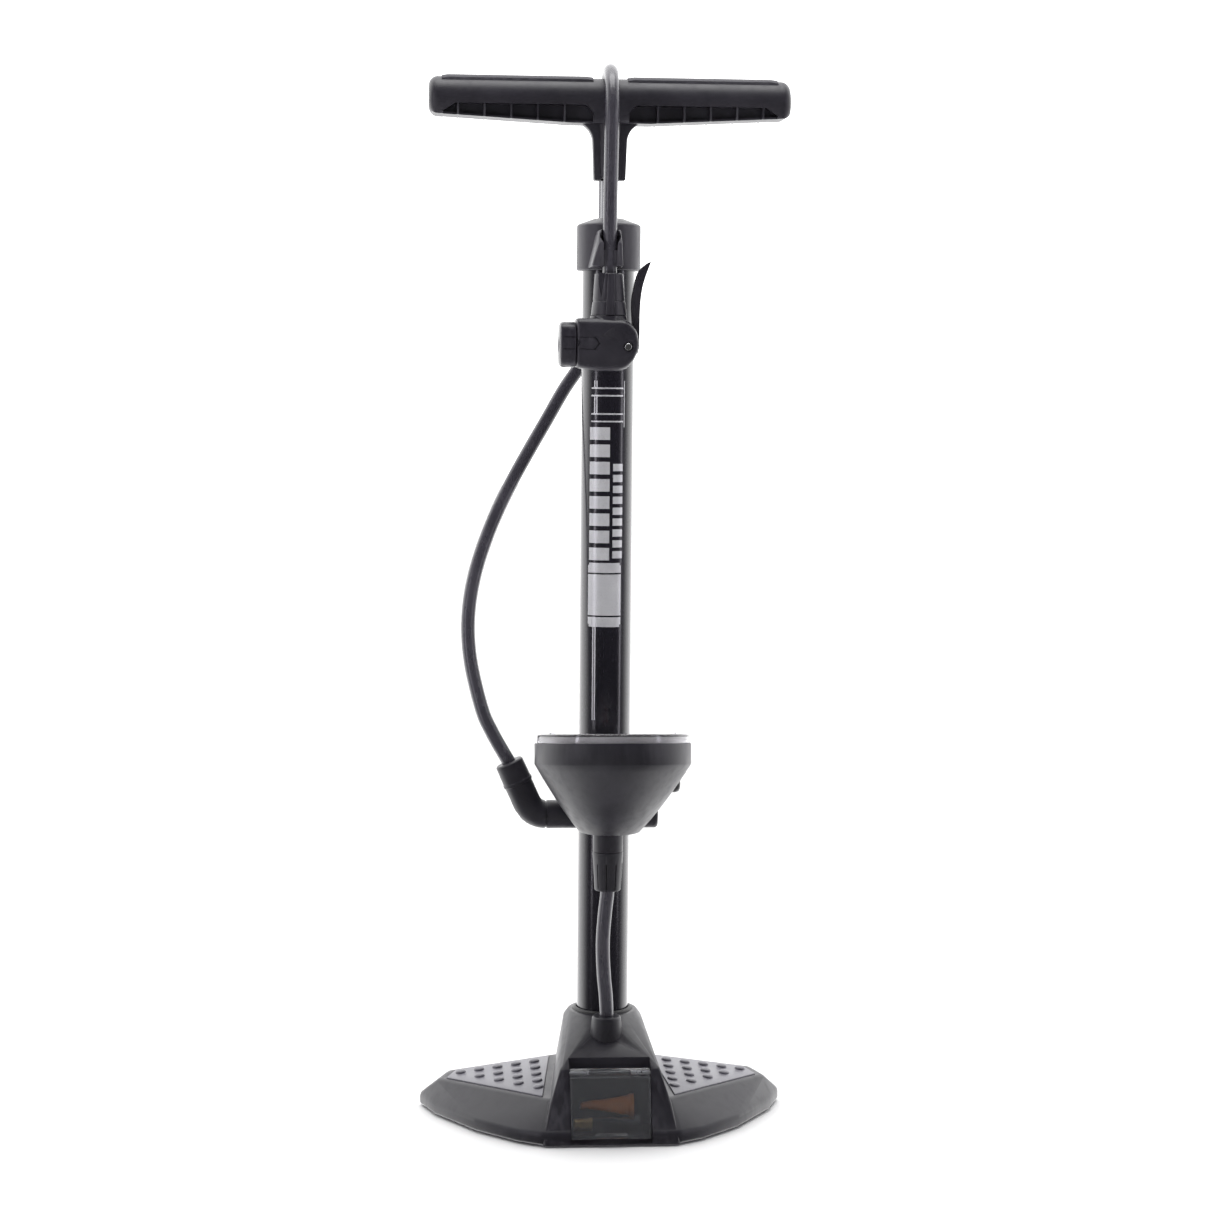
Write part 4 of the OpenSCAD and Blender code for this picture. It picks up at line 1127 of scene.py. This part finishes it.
def make_head():
    outline = [
        (-22, -12), (-18, -13.2), (-6, -14.5), (4, -14.2), (8.5, -12.5), (12.4, -8), (15, -2), (15.4, 3),
        (14, 9.5), (10, 14.5), (6, 16.4), (-22, 16.8),
    ]
    inner = [(x * 0.96, 0.8 + (y - 0.8) * 0.84) for x, y in outline]
    points = [(x, y, z) for x, y in outline for z in (-10, 10)]
    points += [(x, y, z) for x, y in inner for z in (-13, 13)]
    bm = convex(points, 1.5, 4, 8)
    bm.transform(head_plane())
    head = new_object("head_moulding", bm, "head")
    x = -2.2
    collar = lathe(rounded([(AXIS, 484), (11.6, 484), (10.8, 490.4), (AXIS, 490.4)], 0.6, 3), (x, HEAD_Y, 0))
    corners = [
        (-10.2, -33, 490.2), (-10.2, -26, 490.2), (4.6, -40.2, 490.2), (4.6, -30, 490.2),
        (-3.4, -43.4, 479.4), (-3.2, -40, 478.6), (-9.4, -39.2, 490.2), (3.0, -43.2, 484),
    ]
    facet = convex([(x + a, y, z) for a, y, z in corners], 0.4, 2)
    combine(head, [collar, facet], "UNION")
    pin_z = HEAD_AT[2]
    cuts = [
        block(-2.5, 30, -35.8, -24.2, 461, 483),
        block(10.4, 40, -35.8, -24.2, 450, 500),
        rod((PIN_X, -60, pin_z), (PIN_X, 0, pin_z), 1.68, 32),
        rod((PIN_X, -60, pin_z), (PIN_X, -42.3, pin_z), 3.1, 40),
        rod((-30, HEAD_Y, NOZZLE_Z), (-2, HEAD_Y, NOZZLE_Z), 9.05),
    ]
    for tip in (-19.9, -8.4):
        cuts += chevron(tip)
    for z in GROOVES_Z:
        cuts.append(block(-23, -10.4, -46, -42.55, z - 0.3, z + 0.3))
    combine(head, cuts)
    round_edges(head, 0.22, 2, 45)
    piece(head, "pump", ["head_body"], 35)


def chevron(tip):
    """Cutters for one engraved arrow that points to the right on the head's front."""
    cuts = []
    for s in (-1, 1):
        bar = block(-4.6, 0.3, -46, -42.1, -0.42, 0.42)
        bar.transform(Matrix.Translation((tip, 0, 474)) @ Matrix.Rotation(math.radians(54 * s), 4, "Y"))
        cuts.append(bar)
    return cuts


def make_neck():
    x = -2.0
    profile = [(2.0, 490.6), (10.6, 490.6), (9.75, 498.4), (9.3, 498.7), (9.3, 499.3), (9.5, 499.6)]
    profile = rounded(profile + [(8.5, 515.0), (7.8, 515.5), (4.35, 515.5)], 0.3, 3)
    profile += [(4.35, 500.1), (2.0, 500.1)]
    neck = new_object("head_neck_sleeve", lathe(profile, (x, HEAD_Y, 0), closed=True), "head")
    ridge = [
        (-3.6, -30, 490.7), (3.8, -30, 490.7), (2.6, -41.2, 490.7), (2.4, -39.6, 515), (-1.2, -39.4, 515),
        (-2.4, -41.2, 490.7), (-2, -32, 515), (2.4, -32, 515),
    ]
    groove = [
        (-7.4, -45, 516), (-2.6, -45, 516), (-5.2, -45, 500.5), (-7.4, -35, 516), (-2.6, -35.6, 516),
        (-5.2, -37, 500.5),
    ]
    combine(neck, [convex([(x + a, y, z) for a, y, z in ridge], 0.3, 2)], "UNION")
    cut = convex([(x + a, y, z) for a, y, z in groove])
    combine(neck, [cut, rod((x + 0.4, HEAD_Y, 500.1), (x + 0.4, HEAD_Y, 530), 4.35)])
    round_edges(neck, 0.2, 2, 45)
    piece(neck, "pump", ["head_neck"])


def make_nozzle():
    """Rounded square cap that screws on the head's left end."""
    ring = []
    power = 3.6
    for a in full_turn(72):
        c, v = math.cos(a), math.sin(a)
        r = (abs(c) ** power + abs(v) ** power) ** (-1 / power)
        ring.append((c * r, v * r))
    stations = [
        (-22.15, 12.6, 13.0), (-23.0, 12.9, 13.5), (-29.4, 12.9, 13.6), (-30.9, 12.2, 12.9),
        (-31.6, 10.6, 11.3),
    ]
    rings = []
    for x, half_y, half_z in stations:
        rings.append([Vector((x, HEAD_Y + y * half_y, NOZZLE_Z + 0.2 + z * half_z)) for y, z in ring])
    nozzle = new_object("nozzle_ring", loft(rings), "head")
    cuts = [
        rod((-26.8, HEAD_Y, NOZZLE_Z), (-20, HEAD_Y, NOZZLE_Z), 9.05),
        rod((-40, HEAD_Y, NOZZLE_Z), (-20, HEAD_Y, NOZZLE_Z), 4.3),
        lathe([(4.2, -31.0), (6.2, -33), (4.2, -33)], (0, HEAD_Y, NOZZLE_Z), ALONG_X, 48),
    ]
    for z in GROOVES_Z:
        cuts.append(block(-30.0, -21, -46, -42.05, z - 0.3, z + 0.3))
    combine(nozzle, cuts)
    round_edges(nozzle, 0.25, 2, 45)
    piece(nozzle, "pump", ["nozzle_cap"])
    from_cad("valve_grommet", "seal")
    from_cad("head_plunger", "inner")


def make_lever():
    """Lever with a cam round its pin: the far side, the thumb side, the cam and its lower edge."""
    back = [(7.2, 0), (7.3, 8), (7.4, 22), (8.4, 33), (10.4, 41), (13.8, 50.4)]
    front = [(13.0, 50.2), (11, 49), (6.4, 44), (3.6, 33), (2.7, 25), (3, 9), (-2, 6.9)]
    cam = []
    for k in range(19):
        a = math.radians(100 * k / 18)
        r = 7.2 + 2.4 * min(1, a / (math.pi / 2))
        cam.append((-r * math.cos(a), -r * math.sin(a)))
    lower = [(3.6, -6.3), (6.4, -3.4)]
    outline = curve_2d(back) + curve_2d(front) + cam + lower
    bm = prism(outline, -5.45, 5.45, Matrix.Translation((PIN_X, 0, 0)))
    bm.transform(head_plane())
    lever = new_object("lever_arm", bm, "lever")
    combine(lever, [rod((PIN_X, -60, HEAD_AT[2]), (PIN_X, 0, HEAD_AT[2]), 1.66, 32)])
    round_edges(lever, 0.7, 3, 40)
    piece(lever, "lever", ["head_lever"], 40)
    profile = [(AXIS, -13.2), (1.7, -13.2), (2.1, -12.9), (2.1, -12.4), (1.6, -12.4), (1.6, 13.0)]
    pin = lathe(rounded(profile + [(AXIS, 13.2)], 0.1, 2), (PIN_X, HEAD_Y, HEAD_AT[2]), (0, 1, 0), 32)
    piece(new_object("pin", pin, "pin"), "pump", ["lever_pin"])


def curve_2d(points):
    """Smooth flat curve through the points."""
    return [(p.x, p.y) for p in curve_points([(x, y, 0) for x, y in points], 5)]


# ---------------------------------------------------------------- the rest


def make_hidden():
    from_cad("rubber_feet", "foot", 0.5)
    from_cad("foot_plug", "plug")
    from_cad("foot_oring", "seal", 0)
    from_cad("check_poppet", "inner")
    from_cad("check_spring", "spring", 0)
    from_cad("base_screws", "screw")
    from_cad("outlet_elbow", "brass")
    from_cad("lid_pins", "screw", 0.15)
    from_cad("rod_bush", "inner")
    from_cad("wiper_seal", "seal")


set_camera()
make_hoses()
set_light()
floor()
make_base()
make_treads()
make_base_fittings()
make_lid()
make_spares()
make_barrel()
make_cap()
make_plunger()
make_gauge_housing()
make_lens()
make_dial()
make_gauge_works()
make_lower_sleeve()
make_elbow()
make_head()
make_neck()
make_nozzle()
make_lever()
make_hidden()
